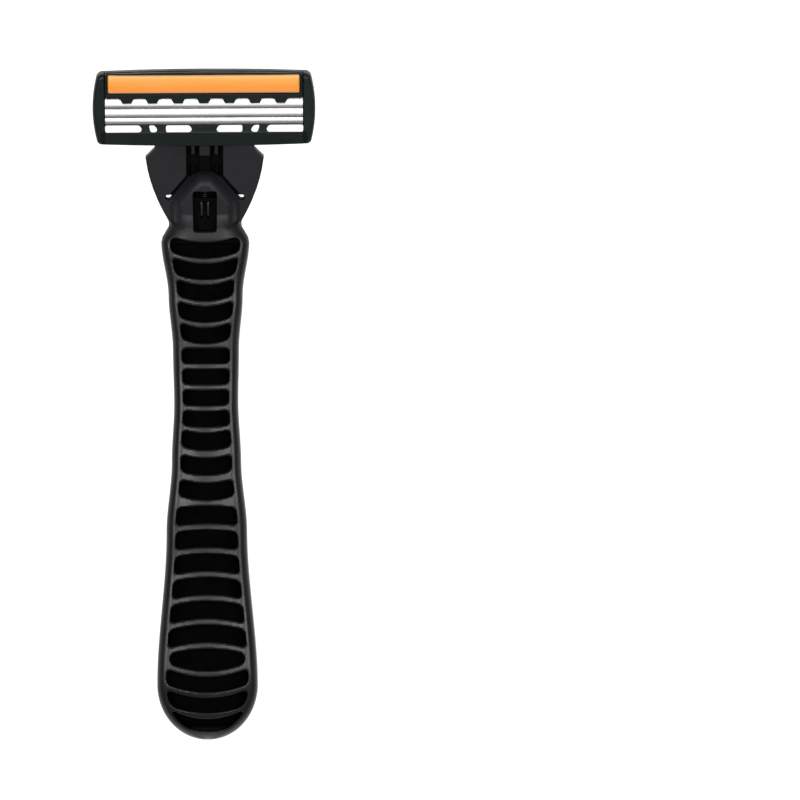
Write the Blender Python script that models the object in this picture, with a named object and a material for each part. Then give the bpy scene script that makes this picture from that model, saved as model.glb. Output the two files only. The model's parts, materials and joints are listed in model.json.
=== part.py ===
"""Cartridge razor: a ribbed handle, a leaning head with two flexing arms, and a three-blade cartridge.

The razor lies on its back: X runs across it, +Y towards the head, +Z up, the side that shaves.
Sizes below are millimetres and degrees; MM turns them into metres when a mesh is made.
Three local frames carry the shapes:
  handle  Y is measured as a station s, from the neck's narrowest point towards the butt
  head    q runs up the leaning neck, w stands on it, and its origin is on the neck at s = 0
  shave   c runs across the cartridge from guard to cap, u out of it, from the pivot's axis
"""

import math

import bmesh
import bpy
from mathutils import Vector

MM = 0.001
GAP = 0.3
FINE_GAP = 0.05

# Handle
NECK_Y = 34.55
BUTT_S = 97.05
WIDEST_S = 86.5
WIDTHS = ((0, 6.5), (3.9, 8.2), (14, 6.9), (24, 6.15), (34, 5.97), (44.9, 6.45), (58, 7.5), (86.5, 9.35))
FRONT = ((0, 8.9), (4, 9.6), (14, 9.1), (30, 8.5), (50, 9.0), (70, 10.2), (84, 10.8))
SHELL_SPLIT = 3.5
SPLIT_AT_NECK = 4.5
BACK_LAND_START = 16.0
BACK_RISE = 2.8
BACK_END_START = 88.0
BACK_SHELL_START = 2.5
WALL = 1.55
LADDER_DEPTH = 2.3
CORE_DEPTH = 4.0
TRAY_FLOOR = 1.5
CAVITY = (4.4, 94.3)
# Grip slots in groups: how many, first station, pitch, length, bow at the first and the last edge
SLOT_GROUPS = (
    (5, 4.2, 3.98, 2.8, 1.25, 1.0),
    (4, 23.87, 3.93, 2.75, 0.0, 0.3),
    (3, 39.7, 4.65, 3.05, 0.7, 0.8),
    (6, 53.25, 4.42, 3.15, -0.3, -1.0),
    (1, 79.8, 4.1, 4.05, -1.0, 1.5),
    (2, 85.1, 3.88, 2.75, 1.6, 1.5),
    (1, 92.9, 2.4, 2.4, 1.2, 0.0),
)
SLOT_CORNER = 0.9
SLOT_SIDE = 1.85

# Head, in the head's frame
LEAN = 14.0
PLATE = 2.4
BULLET_TOP = 4.8
BULLET = ((6.3, -4.5), (6.4, 0.0), (6.2, 4.65), (2.9, 8.4), (1.3, 9.75))
ARM_TIP = 15.9
ARM_CORNER_Q = 12.6
ARM_INNER_X = 3.37
ARM_TOE = (10.1, 15.2)
CHAMFER_TOP = (9.3, 14.3)
KEYHOLE = (6.86, 5.0)
KEYHOLE_RADIUS = 0.5
HINGE_Q = 5.0
SLIT_Q = 9.05
SLIT_WIDTH = 0.6
CHAMBER_X = 3.4
CHAMBER_Q = (-2.6, 7.0)
CHAMBER_TOP = 3.5
SEAT_X = 2.2
SEAT_Q = 8.0
MOUTH_X = 2.75
MOUTH_TOP = 2.1
WINDOW = (2.25, -0.95, 6.6)
RUNNING = 0.12
COVER = ((4.6, -2.4), (5.4, -1.6), (5.9, 3.0), (6.2, 4.8), (6.75, 5.2), (6.75, 5.7), (5.5, 7.2), (3.7, 9.3), (3.7, 14.5))
COVER_W = (-1.9, -0.15)
GUIDE = (3.2, 7.4, -0.6, 1.6)
SLIDER_X = 2.9
SLIDER_Q = (-1.9, 5.0)
SLIDER_W = (1.95, 2.7)
SLIDER_TRAVEL = 1.7
RIB_X = 0.6
RIB_HALF = 0.2
RIB = ((0.7, 2.5), (4.7, 2.5), (4.4, 4.0), (3.6, 3.9))
PRONG = (1.85, 2.55)
PRONG_W = (0.15, 0.8)
WEB = (-1.7, 1.1, 0.1, 2.3)
PLUNGER_HALF = 1.1
PLUNGER_Q = (1.9, 16.5)
PLUNGER_W = (0.1, 1.7)
PLUNGER_STEM = (12.6, 0.9)
FLANGE = (1.6, 0.9)
COIL_TURNS = 6
PLUNGER_COIL = (0.62, 0.13, 0.95)
SLIDER_COIL = (0.42, 0.1, 2.6)
SADDLE_Q = (14.85, 15.95)
SADDLE_W = (-1.9, -0.35)
CHEEK_RADIUS = 1.1
PUSH_Q = (12.9, 15.35)
PUSH_W = (0.15, 1.4)
PUSH_ROOT_W = -1.0
PRONG_TIP = PUSH_Q[0] - SLIDER_TRAVEL - GAP

# Cartridge, in the shaving frame
PIVOT_RISE = 15.31
PIVOT_W = 2.9
FACE_TILT = 18.0
PIN_RADIUS = 0.5
PIN_CLEARANCE = 0.05
HALF_WIDTH = 20.7
SIDE_BULGE = 1.05
EDGE_BULGE = 0.42
GUARD_C = -1.0
GUARD_END = 1.85
GUARD_FALL = 0.25
GUARD_FLOOR = (1.0, 0.25)
CREST_END = (3.6, 2.05)
CAP_C = 13.5
OPENING_X = 18.5
FACE_U = 2.3
UNDER_U = -0.4
REAR_SHELF = (10.9, 1.55)
BLADE_ANGLE = 23.0
BLADE_EDGE_U = 2.45
BLADE_EDGES = {"blade_front": 3.36, "blade_middle": 4.65, "blade_rear": 6.39}
BLADE_WIDTH = 4.6
BLADE_THICK = 0.12
BLADE_HALF = 18.35
RINSE_C = (1.82, 3.2)
RINSE_X = ((2.3, 7.1), (8.8, 10.3), (11.6, 18.4))
WEBS = ((0.0, 2.3), (7.1, 8.8), (10.3, 11.6), (14.6, 15.6), (18.0, 18.4))
FLOW_C = (3.3, 10.6)
CAP_UNDER = 2.1
CAP_TOP = 2.9
CAP_BODY = (9.0, 12.95, 1.65)
CAP_FOOT = (16.2, 17.8, 10.95, 12.1, 0.75)
TEETH = 7
TOOTH_PITCH = 4.77
TOOTH_BASE = 2.7
TOOTH_TIP = 1.75
TOOTH_C = (7.5, 8.4)
STRIP = (-17.8, 17.8, 9.52, 12.96)
STRIP_FLOOR = 2.4
STRIP_TOP = 3.2
STRIP_SIDE = 0.35
POCKET_GAP = 0.15
COMB_GAP = 1.4
LUG_X = (11.75, 12.9)
LUG_RADIUS = 1.0
CHEEK_X = (10.4, 11.5)
CAM = (-1.6, 1.6, 0.2, 1.3, -2.6, 0.8)
RECESS_GAP = 0.35


# Places


def interpolate(table, s):
    """A smooth curve through a few (station, value) points, with no overshoot between them."""
    if s <= table[0][0]:
        return table[0][1]
    for (s0, v0), (s1, v1) in zip(table, table[1:]):
        if s <= s1:
            t = (s - s0) / (s1 - s0)
            return v0 + (v1 - v0) * t * t * (3 - 2 * t)
    return table[-1][1]


def rounding(s, start, end):
    """1 up to start, then an ellipse's quarter down to 0 at end."""
    if s <= start:
        return 1.0
    return math.sqrt(max(0.0, 1 - ((s - start) / (end - start)) ** 2))


def half_width(s):
    return interpolate(WIDTHS, s) * rounding(s, WIDEST_S, BUTT_S)


def split_height(s):
    return max(SHELL_SPLIT, SPLIT_AT_NECK - s * math.tan(math.radians(LEAN)))


def front_height(s):
    low = split_height(s)
    return low + (interpolate(FRONT, s) - low) * rounding(s, FRONT[-1][0], BUTT_S + 0.8)


def back_height(s):
    rise = BACK_RISE * max(0.0, 1 - s / BACK_LAND_START) ** 2
    return rise + SHELL_SPLIT * (1 - rounding(s, BACK_END_START, BUTT_S + 0.4))


def wing_edge(q):
    """The head's outer edge, a shallow parabola from the neck to the arm's corner."""
    return WIDTHS[0][1] + 0.605 * q - 0.0195 * q * q


# Meshes


def mesh_from(points, faces):
    work = bmesh.new()
    corners = [work.verts.new(Vector(p) * MM) for p in points]
    for face in faces:
        work.faces.new([corners[i] for i in face])
    bmesh.ops.recalc_face_normals(work, faces=work.faces)
    mesh = bpy.data.meshes.new("solid")
    work.to_mesh(mesh)
    work.free()
    return mesh


def loft(sections):
    """Rings with the same number of points, joined in order and closed at both ends."""
    count = len(sections[0])
    points = [p for section in sections for p in section]
    faces = [list(range(count)), list(range(len(points) - count, len(points)))]
    for ring in range(len(sections) - 1):
        for i in range(count):
            a, b = ring * count + i, ring * count + (i + 1) % count
            faces.append([a, b, b + count, a + count])
    return mesh_from(points, faces)


def prism(outline, low, high, slant=0.0):
    """An outline in the local XY plane, extruded along Z; slant moves its top along Y for each unit up."""
    rings = [[(x, y + slant * z, z) for x, y in outline] for z in (low, high)]
    return loft(rings)


def slice_x(outline, low, high):
    """An outline in the local YZ plane, extruded along X."""
    return loft([[(x, y, z) for y, z in outline] for x in (low, high)])


def box(x0, x1, y0, y1, z0, z1):
    return prism([(x0, y0), (x1, y0), (x1, y1), (x0, y1)], z0, z1)


def arc(cx, cy, radius, start, end, steps):
    angles = [math.radians(start + (end - start) * i / steps) for i in range(steps + 1)]
    return [(cx + radius * math.cos(a), cy + radius * math.sin(a)) for a in angles]


def disc(cx, cy, radius, steps=16):
    return arc(cx, cy, radius, 0, 360 - 360 / steps, steps - 1)


def merged(meshes):
    """Separate closed shapes in one mesh, for a cutter that cuts them all."""
    work = bmesh.new()
    for mesh in meshes:
        work.from_mesh(mesh)
    result = bpy.data.meshes.new("shapes")
    work.to_mesh(result)
    work.free()
    return result


def mirrored(outline):
    return [(-x, y) for x, y in outline]


# Objects and materials


def material(name, colour, roughness, metallic=0.0):
    made = bpy.data.materials.new(name)
    made.use_nodes = True
    shader = made.node_tree.nodes["Principled BSDF"]
    shader.inputs["Base Color"].default_value = (*colour, 1.0)
    shader.inputs["Roughness"].default_value = roughness
    shader.inputs["Metallic"].default_value = metallic
    return made


def axis_empty(name, place, lean):
    """An empty on the handle's frame, with X kept and Y leaning up."""
    empty = bpy.data.objects.new(name, None)
    empty.location = Vector(place) * MM
    empty.rotation_euler = (math.radians(lean), 0.0, 0.0)
    bpy.context.scene.collection.objects.link(empty)
    return empty


def add(name, mesh, parent=None, finish=None):
    part = bpy.data.objects.new(name, mesh)
    part.parent = parent
    bpy.context.scene.collection.objects.link(part)
    if finish:
        mesh.materials.append(finish)
    mesh.shade_smooth()
    mesh.set_sharp_from_angle(angle=math.radians(35))
    return part


def bevel(part, width, segments=2, angle=50):
    modifier = part.modifiers.new("Bevel", "BEVEL")
    modifier.width = width * MM
    modifier.segments = segments
    modifier.limit_method = "ANGLE"
    modifier.angle_limit = math.radians(angle)


def combine(part, mesh, operation, parent=None, name="cutter"):
    """Joins a helper shape to a part, or cuts it away; the helper itself isn't rendered."""
    helper = bpy.data.objects.new(f"{name}_{part.name}", mesh)
    helper.parent = parent
    helper.hide_render = True
    helper.display_type = "WIRE"
    bpy.context.scene.collection.objects.link(helper)
    modifier = part.modifiers.new(operation.title(), "BOOLEAN")
    modifier.operation = operation
    modifier.object = helper
    return helper


# Handle


def stations(start, end, step):
    count = max(2, round((end - start) / step))
    return [start + (end - start) * i / count for i in range(count + 1)]


def ring_at(s, half_outline):
    """A closed ring at station s from one half's (x, z) points, from the middle of one side to the other."""
    y = NECK_Y - s
    right = [(x, y, z) for x, z in half_outline]
    left = [(-x, y, z) for x, z in reversed(half_outline) if x > 0]
    return right + left


def front_section(s):
    w, low, top = half_width(s), split_height(s), front_height(s)
    tall = top - low
    return ring_at(s, [
        (0, top), (w * 0.55, top - 0.03 * tall), (w * 0.84, top - 0.13 * tall),
        (w * 0.955, top - 0.3 * tall), (w, top - 0.55 * tall), (w, low),
    ])


def back_section(s):
    w, low = half_width(s), back_height(s)
    top = split_height(s) - 0.1
    tall = top - low
    return ring_at(s, [(w, top), (w, low + 0.6 * tall), (w - 0.14 * w, low + 0.14 * tall), (w - 0.3 * w, low)])


def cavity_section(s, inset, floor, roof):
    w = half_width(s) - inset
    return ring_at(s, [(w, roof), (w, floor)])


def core_section(s):
    w = half_width(s) - WALL - FINE_GAP - GAP / 2
    roof = front_height(s) - CORE_DEPTH
    floor = back_height(s) + TRAY_FLOOR + GAP
    return ring_at(s, [(w * 0.9, roof), (w, roof - 0.6), (w, floor + 0.4), (w * 0.9, floor)])


def slot_outline(start, end, bow_start, bow_end):
    """A slot across the handle: bowed upper and lower edges, round corners, sides that follow the handle."""
    side_start = half_width(start) - SLOT_SIDE
    side_end = min(half_width(end), half_width(end - bow_end)) - SLOT_SIDE
    corner = min(SLOT_CORNER, (end - bow_end - start + bow_start) * 0.45)

    def edge(s, bow, side, x):
        return NECK_Y - (s - bow * (x / side) ** 2)

    shares = (0.0, 0.45, 0.8)
    upper = [(side_start * t, edge(start, bow_start, side_start, side_start * t)) for t in shares]
    lower = [(side_end * t, edge(end, bow_end, side_end, side_end * t)) for t in shares]
    top_y = edge(start, bow_start, side_start, side_start)
    low_y = edge(end, bow_end, side_end, side_end)
    corners = [
        (side_start - corner * 0.35, top_y - corner * 0.1),
        (side_start, top_y - corner * 0.65),
        (side_end, low_y + corner * 0.65),
        (side_end - corner * 0.35, low_y + corner * 0.1),
    ]
    right = upper + corners + list(reversed(lower))
    left = [(-x, y) for x, y in reversed(right) if x > 0]
    return right + left


def grip_slots():
    """(start, end, bow at start, bow at end) of every slot, from the neck to the butt."""
    slots = []
    for count, first, pitch, length, bow_first, bow_last in SLOT_GROUPS:
        edges = 2 * count - 1
        for i in range(count):
            bows = [bow_first + (bow_last - bow_first) * n / edges for n in (2 * i, 2 * i + 1)]
            start = first + pitch * i
            slots.append((start, start + length, *bows))
    return slots


def handle_stations():
    return stations(0.0, FRONT[-1][0], 4.0) + [86.5, 88.8, 91.0, 93.0, 94.8, 96.1, 96.85]


def inner_stations(inset):
    """Stations of the hollow inside both shells, and of the core that fills it with the ends drawn in."""
    return [CAVITY[0] + inset, *stations(8.5, 84.0, 5.4), 87.0, 89.5, 91.5, 93.0, CAVITY[1] - inset]


def back_stations():
    ends = [90.5, 92.8, 94.8, 96.2, 96.85]
    land = stations(BACK_LAND_START, BACK_END_START, 12.0)[1:]
    return [BACK_SHELL_START, *stations(4.0, BACK_LAND_START, 3.0), *land, *ends]


def make_handle(plastic, rubber, head):
    front = add("handle_front_shell", loft([front_section(s) for s in handle_stations()]), None, plastic)
    combine(front, root_plate(), "UNION", head, "plate")
    bullet_outline = list(BULLET) + list(reversed(mirrored(BULLET)))
    bullet = combine(front, prism(bullet_outline, 1.0, BULLET_TOP), "UNION", head, "bullet")
    bevel(bullet, 1.0, 3)
    cavity = [
        cavity_section(s, WALL, 1.0, front_height(s) - LADDER_DEPTH) for s in inner_stations(0.0)
    ]
    combine(front, loft(cavity), "DIFFERENCE", name="cavity")
    slots = [prism(slot_outline(*slot), 4.5, 14.0) for slot in grip_slots()]
    combine(front, merged(slots), "DIFFERENCE", name="slots")
    for number, cutter in enumerate(head_chambers()):
        combine(front, cutter, "DIFFERENCE", head, f"chamber_{number}")

    back = add("handle_back_shell", loft([back_section(s) for s in back_stations()]), None, plastic)
    tray = [cavity_section(s, WALL, back_height(s) + TRAY_FLOOR, 8.0) for s in inner_stations(0.0)]
    combine(back, loft(tray), "DIFFERENCE", name="tray")

    add("grip_core", loft([core_section(s) for s in inner_stations(GAP)]), None, rubber)


# Head


def slit_lower_edge():
    """The head's edge below the slit, on the right side, from the middle out to the keyhole."""
    across = (KEYHOLE[0] - ARM_INNER_X, KEYHOLE[1] - SLIT_Q)
    length = math.hypot(*across)
    off = (across[1] / length * SLIT_WIDTH, -across[0] / length * SLIT_WIDTH)
    return [
        (ARM_INNER_X + off[0], SLIT_Q + off[1]),
        (KEYHOLE[0] + off[0] * 0.5 - 0.2, KEYHOLE[1] + off[1] * 0.5),
    ]


def root_plate():
    """The flat plate below the two slits, with the flexing arms' roots at its corners."""
    q = HINGE_Q - FINE_GAP
    right = [(6.2, -4.0), (6.5, 0.0)]
    right += [(wing_edge(step), step) for step in (1.2, 2.4, 3.6)]
    right += [(wing_edge(q), q), (KEYHOLE[0] + 0.2, q)]
    right += reversed(slit_lower_edge())
    right.append((1.3, 9.4))
    return prism(right + list(reversed(mirrored(right))), 0.0, PLATE)


def head_chambers():
    """What is cut from the head: the mechanism's chamber with its spring's seat, mouth, window and keyholes."""
    half, low, high = WINDOW
    window = [
        (half, low + 0.4), (half - 0.4, low), (0.4 - half, low), (-half, low + 0.4),
        (-half, high - 0.7), (0.7 - half, high), (half - 0.7, high), (half, high - 0.7),
    ]
    holes = [prism(disc(side * KEYHOLE[0], KEYHOLE[1], KEYHOLE_RADIUS, 12), -1.0, 4.0) for side in (1, -1)]
    return [
        box(-CHAMBER_X, CHAMBER_X, *CHAMBER_Q, -1.0, CHAMBER_TOP),
        box(-SEAT_X, SEAT_X, CHAMBER_Q[1] - 0.5, SEAT_Q, -1.0, CHAMBER_TOP),
        box(-MOUTH_X, MOUTH_X, CHAMBER_Q[0] + 1.0, 12.0, -1.0, MOUTH_TOP),
        prism(window, 3.0, 7.0),
        merged(holes),
    ]


def arm_outline():
    q = HINGE_Q + FINE_GAP
    edge = [(wing_edge(step), step) for step in (6.5, 8.4, 10.3)]
    outline = [(KEYHOLE[0] + 0.1, q), (wing_edge(q), q), *edge, (wing_edge(ARM_CORNER_Q), ARM_CORNER_Q)]
    outline += [CHAMFER_TOP, (CHAMFER_TOP[0], ARM_TOE[1]), ARM_TOE, (ARM_TOE[0], ARM_TIP)]
    outline += [(ARM_INNER_X, ARM_TIP), (ARM_INNER_X, SLIT_Q), (KEYHOLE[0] - 0.1, KEYHOLE[1] + 0.15)]
    return outline


def make_arms(plastic, head):
    hole_x, hole_q = KEYHOLE
    for name, side in (("right_arm", 1), ("left_arm", -1)):
        outline = arm_outline() if side > 0 else list(reversed(mirrored(arm_outline())))
        hinge_x = side * (hole_x + KEYHOLE_RADIUS + wing_edge(hole_q)) / 2
        arm = add(name, prism([(x - hinge_x, q - HINGE_Q) for x, q in outline], 0.0, PLATE), head, plastic)
        arm.location = Vector((hinge_x, HINGE_Q, 0.0)) * MM
        combine(arm, prism(disc(side * hole_x, hole_q, KEYHOLE_RADIUS, 12), -1.0, 4.0), "DIFFERENCE", head)


def side_box(side, x_range, y_range, z_range):
    """A block on one side of the middle plane; side is 1 for the right and -1 for the left."""
    x0, x1 = sorted((side * x_range[0], side * x_range[1]))
    return box(x0, x1, *y_range, *z_range)


def make_back_cover(plastic, head):
    outline = list(COVER) + list(reversed(mirrored(COVER)))
    cover = add("head_back_cover", prism(outline, *COVER_W), head, plastic)
    bevel(cover, 0.5, 2)
    between = (PLUNGER_HALF + RUNNING, PRONG[0] - RUNNING)
    for side in (1, -1):
        combine(cover, side_box(side, between, GUIDE[:2], GUIDE[2:]), "UNION", head, f"guide{side}")


def make_slider(plastic, head):
    """The release button: a plate under the window, two prongs that push the cartridge off, and two grip ribs."""
    low, high = SLIDER_Q
    slider = add("release_slider", box(-SLIDER_X, SLIDER_X, 0.0, high - low, *SLIDER_W), head, plastic)
    slider.location = Vector((0.0, low, 0.0)) * MM
    for side in (1, -1):
        combine(slider, side_box(side, PRONG, WEB[:2], WEB[2:]), "UNION", head, f"web{side}")
        prong = side_box(side, PRONG, (WEB[0] + 0.2, PRONG_TIP), PRONG_W)
        combine(slider, prong, "UNION", head, f"prong{side}")
        rib = slice_x(RIB, side * RIB_X - RIB_HALF, side * RIB_X + RIB_HALF)
        combine(slider, rib, "UNION", head, f"rib{side}")


def make_plunger(plastic, head):
    """The sprung tongue between the prongs: a flange for its spring, a thin stem and a thick chamfered tip."""
    low, high = PLUNGER_Q
    floor, top = PLUNGER_W
    half, tall, tip = PLUNGER_HALF, PLUNGER_STEM[1] - floor, 0.4
    flange, step = FLANGE
    right = [(flange, 0.0), (flange, step), (half, step), (half, high - low - tip), (half - tip, high - low)]
    outline = right + list(reversed(mirrored(right)))
    plunger = add("plunger", prism(outline, floor, floor + tall), head, plastic)
    plunger.location = Vector((0.0, low, 0.0)) * MM
    combine(plunger, box(-half, half, PLUNGER_STEM[0], high - tip, floor, top), "UNION", head, "tip")
    combine(plunger, box(-flange, flange, low, low + step, floor, top), "UNION", head, "flange")


def coil(name, place, length, radius, wire, turns, steel, head):
    """A compression spring along the neck: a polyline helix with a round bevel."""
    curve = bpy.data.curves.new(name, "CURVE")
    curve.dimensions = "3D"
    curve.bevel_depth = wire * MM
    curve.bevel_resolution = 1
    curve.use_fill_caps = True
    steps = 10
    count = int(turns * steps) + 1
    spline = curve.splines.new("POLY")
    spline.points.add(count - 1)
    for i, point in enumerate(spline.points):
        angle = 2 * math.pi * i / steps
        along = length * i / (count - 1)
        point.co = (*Vector((radius * math.cos(angle), along, radius * math.sin(angle))) * MM, 1.0)
    curve.materials.append(steel)
    spring = bpy.data.objects.new(name, curve)
    spring.parent = head
    spring.location = Vector(place) * MM
    bpy.context.scene.collection.objects.link(spring)


def make_springs(steel, head):
    """One spring between the chamber's lower wall and the plunger, one between the slider and the upper wall."""
    spans = (
        ("plunger_spring", CHAMBER_Q[0], PLUNGER_Q[0], PLUNGER_COIL),
        ("slider_spring", SLIDER_Q[1], SEAT_Q, SLIDER_COIL),
    )
    for name, low, high, (radius, wire, height) in spans:
        seat = wire + 0.1
        coil(name, (0.0, low + seat, height), high - low - 2 * seat, radius, wire, COIL_TURNS, steel, head)


def make_saddle(plastic, head):
    """The cartridge's carrier: a beam behind the arms, two cheeks with stub pins, and two push pads."""
    low, high = SADDLE_Q
    pivot_q = pivot_in_head()
    inner, outer = CHEEK_X
    beam = box(-outer, outer, low - pivot_q, high - pivot_q, *SADDLE_W)
    saddle = add("cartridge_saddle", beam, head, plastic)
    saddle.location = Vector((0.0, pivot_q, 0.0)) * MM
    foot = SADDLE_W[0] + 0.4
    round_end = arc(pivot_q, PIVOT_W, CHEEK_RADIUS, -50, 180, 9)
    cheek = [(low, foot), (high - 0.1, foot), *round_end, (low, PUSH_W[1])]
    push_x = (1.8, PRONG[1])
    for side in (1, -1):
        x0, x1 = sorted((side * inner, side * outer))
        combine(saddle, slice_x(cheek, x0, x1), "UNION", head, f"cheek{side}")
        x0, x1 = sorted((side * (outer - 0.4), side * (LUG_X[1] - 0.1)))
        pin = slice_x(disc(pivot_q, PIVOT_W, PIN_RADIUS, 16), x0, x1)
        combine(saddle, pin, "UNION", head, f"pin{side}")
        root = side_box(side, push_x, (low, PUSH_Q[1]), (PUSH_ROOT_W, PUSH_W[1]))
        combine(saddle, root, "UNION", head, f"root{side}")
        combine(saddle, side_box(side, push_x, PUSH_Q, PUSH_W), "UNION", head, f"push{side}")


def pivot_in_head():
    """The pivot's q in the head's frame, from its rise above the neck's narrowest point."""
    lean = math.radians(LEAN)
    return (PIVOT_RISE + PIVOT_W * math.sin(lean)) / math.cos(lean)


# Cartridge


def rim(x):
    """How far the long edges fall back from their middle at x."""
    return EDGE_BULGE * (x / HALF_WIDTH) ** 2


def side_at(c):
    """The end's outline: widest in the middle of the cartridge."""
    middle = (GUARD_C + CAP_C) / 2
    return HALF_WIDTH - SIDE_BULGE * ((c - middle) / (CAP_C - middle)) ** 2


def cartridge_outline():
    guard = [(x, GUARD_C + rim(x)) for x in (0.0, 10.0, 19.2)]
    ends = [(side_at(c), c) for c in (-0.15, 3.2, 6.25, 9.3, 12.6)]
    cap = [(x, CAP_C - rim(x)) for x in (19.2, 10.0)]
    right = guard + ends + cap
    return right + [(0.0, CAP_C)] + [(-x, c) for x, c in reversed(right) if x > 0]


def blade_bed():
    """All that stands above the front blade's underside, between the guard's inner edge and the rear bar."""
    slope = math.tan(math.radians(BLADE_ANGLE))
    start = BLADE_EDGES["blade_front"]
    floor = BLADE_EDGE_U - BLADE_THICK / math.cos(math.radians(BLADE_ANGLE)) - FINE_GAP
    reach = start + BLADE_WIDTH + 0.4
    low = floor - (reach - start) * slope
    profile = [(start - 0.12, floor + 0.05), (reach, low), (12.3, low), (12.3, 5.0), (start - 0.12, 5.0)]
    return slice_x(profile, -OPENING_X, OPENING_X)


def rinse_windows():
    """Openings between guard and blades, slanted so that they lie open straight from above."""
    slant = math.tan(math.radians(FACE_TILT))
    shapes = []
    low, high = RINSE_C
    low, high = low - slant * FACE_U, high - slant * FACE_U
    for inner, outer in RINSE_X:
        for side in (1, -1):
            outline = [
                (inner, low + 0.5), (inner + 0.45, low), (outer - 0.3, low), (outer, low + 0.4),
                (outer, high - 0.3), (outer - 0.3, high), (inner + 0.5, high), (inner + 0.1, high - 0.5),
            ]
            if side < 0:
                outline = list(reversed(mirrored(outline)))
            shapes.append(prism(outline, -2.0, 4.0, slant))
    return merged(shapes)


def back_openings():
    """Flow-through openings behind the blades, between the webs that carry them."""
    shapes = []
    for (_, start), (end, _) in zip(WEBS, WEBS[1:]):
        shapes += [side_box(side, (start, end), FLOW_C, (-2.0, 3.0)) for side in (1, -1)]
    return merged(shapes)


def make_frame(plastic, shave):
    """The cartridge's body: guard, blade bed, rinse windows, and the lugs that turn on the saddle's pins."""
    frame = add("cartridge_frame", prism(cartridge_outline(), UNDER_U, CAP_TOP), shave, plastic)
    bevel(frame, 0.5, 2)
    above = 5.0
    guard = [(GUARD_END, FACE_U), (-1.5, FACE_U - GUARD_FALL), (-1.5, above), (GUARD_END, above)]
    combine(frame, slice_x(guard, -OPENING_X - 0.6, OPENING_X + 0.6), "DIFFERENCE", shave, "guard")
    combine(frame, box(-30, 30, -3.0, GUARD_FLOOR[0], -2.0, GUARD_FLOOR[1]), "DIFFERENCE", shave, "under")
    crest = [(1.8, FACE_U - 0.1), CREST_END, (CREST_END[0], above), (1.8, above)]
    combine(frame, slice_x(crest, -OPENING_X, OPENING_X), "DIFFERENCE", shave, "crest")
    combine(frame, blade_bed(), "DIFFERENCE", shave, "bed")
    shelf = box(-OPENING_X, OPENING_X, REAR_SHELF[0], 15.0, REAR_SHELF[1], above)
    combine(frame, shelf, "DIFFERENCE", shave, "rear")
    combine(frame, rinse_windows(), "DIFFERENCE", shave, "rinse")
    combine(frame, back_openings(), "DIFFERENCE", shave, "flow")
    combine(frame, box(*CAM), "UNION", shave, "cam")
    for side in (1, -1):
        x0, x1 = sorted((side * (CHEEK_X[0] - GAP), side * LUG_X[0]))
        radius = LUG_RADIUS + RECESS_GAP
        recess = [*arc(0.0, 0.0, radius, 0, 180, 8), (-radius, -3.0), (radius, -3.0)]
        combine(frame, slice_x(recess, x0, x1), "DIFFERENCE", shave, f"recess{side}")
        x0, x1 = sorted((side * LUG_X[0], side * LUG_X[1]))
        lug = [(-LUG_RADIUS, 0.9), *arc(0.0, 0.0, LUG_RADIUS, 180, 360, 8), (LUG_RADIUS, 0.9)]
        combine(frame, slice_x(lug, x0, x1), "UNION", shave, f"lug{side}")
        bore = slice_x(disc(0.0, 0.0, PIN_RADIUS + PIN_CLEARANCE, 16), x0 - 0.2, x1 + 0.2)
        combine(frame, bore, "DIFFERENCE", shave, f"bore{side}")


def make_cap(plastic, shave):
    """The top bar: seven teeth over the rear blade, and the strip's pocket."""
    half = OPENING_X - 0.1
    tip, base = TOOTH_C
    front = []
    for i in range(TEETH):
        x = (i - (TEETH - 1) / 2) * TOOTH_PITCH
        wide, narrow = TOOTH_BASE / 2, TOOTH_TIP / 2
        front += [(x - wide, base), (x - narrow, tip), (x + narrow, tip), (x + wide, base)]
    rear = [(x, CAP_C - rim(x)) for x in (half, 10.0, 0.0, -10.0, -half)]
    outline = [(-half, base), *front, (half, base), *rear]
    cap = add("cartridge_cap", prism(outline, CAP_UNDER, CAP_TOP), shave, plastic)
    c0, c1, low = CAP_BODY
    combine(cap, box(0.2 - half, half - 0.2, c0, c1, low, CAP_UNDER + 0.2), "UNION", shave, "body")
    x0, x1, c0, c1 = STRIP
    gap = POCKET_GAP
    pocket = box(x0 - gap, x1 + gap, c0 - gap, c1 + gap, STRIP_FLOOR - FINE_GAP, 4.0)
    combine(cap, pocket, "DIFFERENCE", shave, "pocket")
    inner, outer, c0, c1, low = CAP_FOOT
    for side in (1, -1):
        foot = side_box(side, (inner, outer), (c0, c1), (low, CAP_UNDER))
        combine(cap, foot, "UNION", shave, f"foot{side}")


def make_strip(gel, shave):
    x0, x1, c0, c1 = STRIP
    side = STRIP_SIDE
    profile = [
        (c0, STRIP_FLOOR), (c1, STRIP_FLOOR), (c1, STRIP_TOP - 0.4), (c1 - side, STRIP_TOP - 0.05),
        ((c0 + c1) / 2, STRIP_TOP), (c0 + side, STRIP_TOP - 0.05), (c0, STRIP_TOP - 0.4),
    ]
    add("lubricating_strip", slice_x(profile, x0, x1), shave, gel)


def tilted(edge, start, end, under, over):
    """A thin plate's profile on a blade's plane: start and end run back from its edge, across its thickness."""
    angle = math.radians(BLADE_ANGLE)
    along = (math.cos(angle), -math.sin(angle))
    out = (math.sin(angle), math.cos(angle))

    def at(run, rise):
        return (edge + run * along[0] + rise * out[0], BLADE_EDGE_U + run * along[1] + rise * out[1])

    return [at(start, under), at(end, under), at(end, over), at(start, over)]


def make_blades(steel, shave):
    for name, edge in BLADE_EDGES.items():
        profile = tilted(edge, 0.55, BLADE_WIDTH, -BLADE_THICK, 0.0)
        tip = tilted(edge, 0.0, 0.55, -BLADE_THICK, 0.0)
        point = (tip[0][0], tip[3][1] - 0.03)
        add(name, slice_x([point, *profile], -BLADE_HALF, BLADE_HALF), shave, steel)


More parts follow.
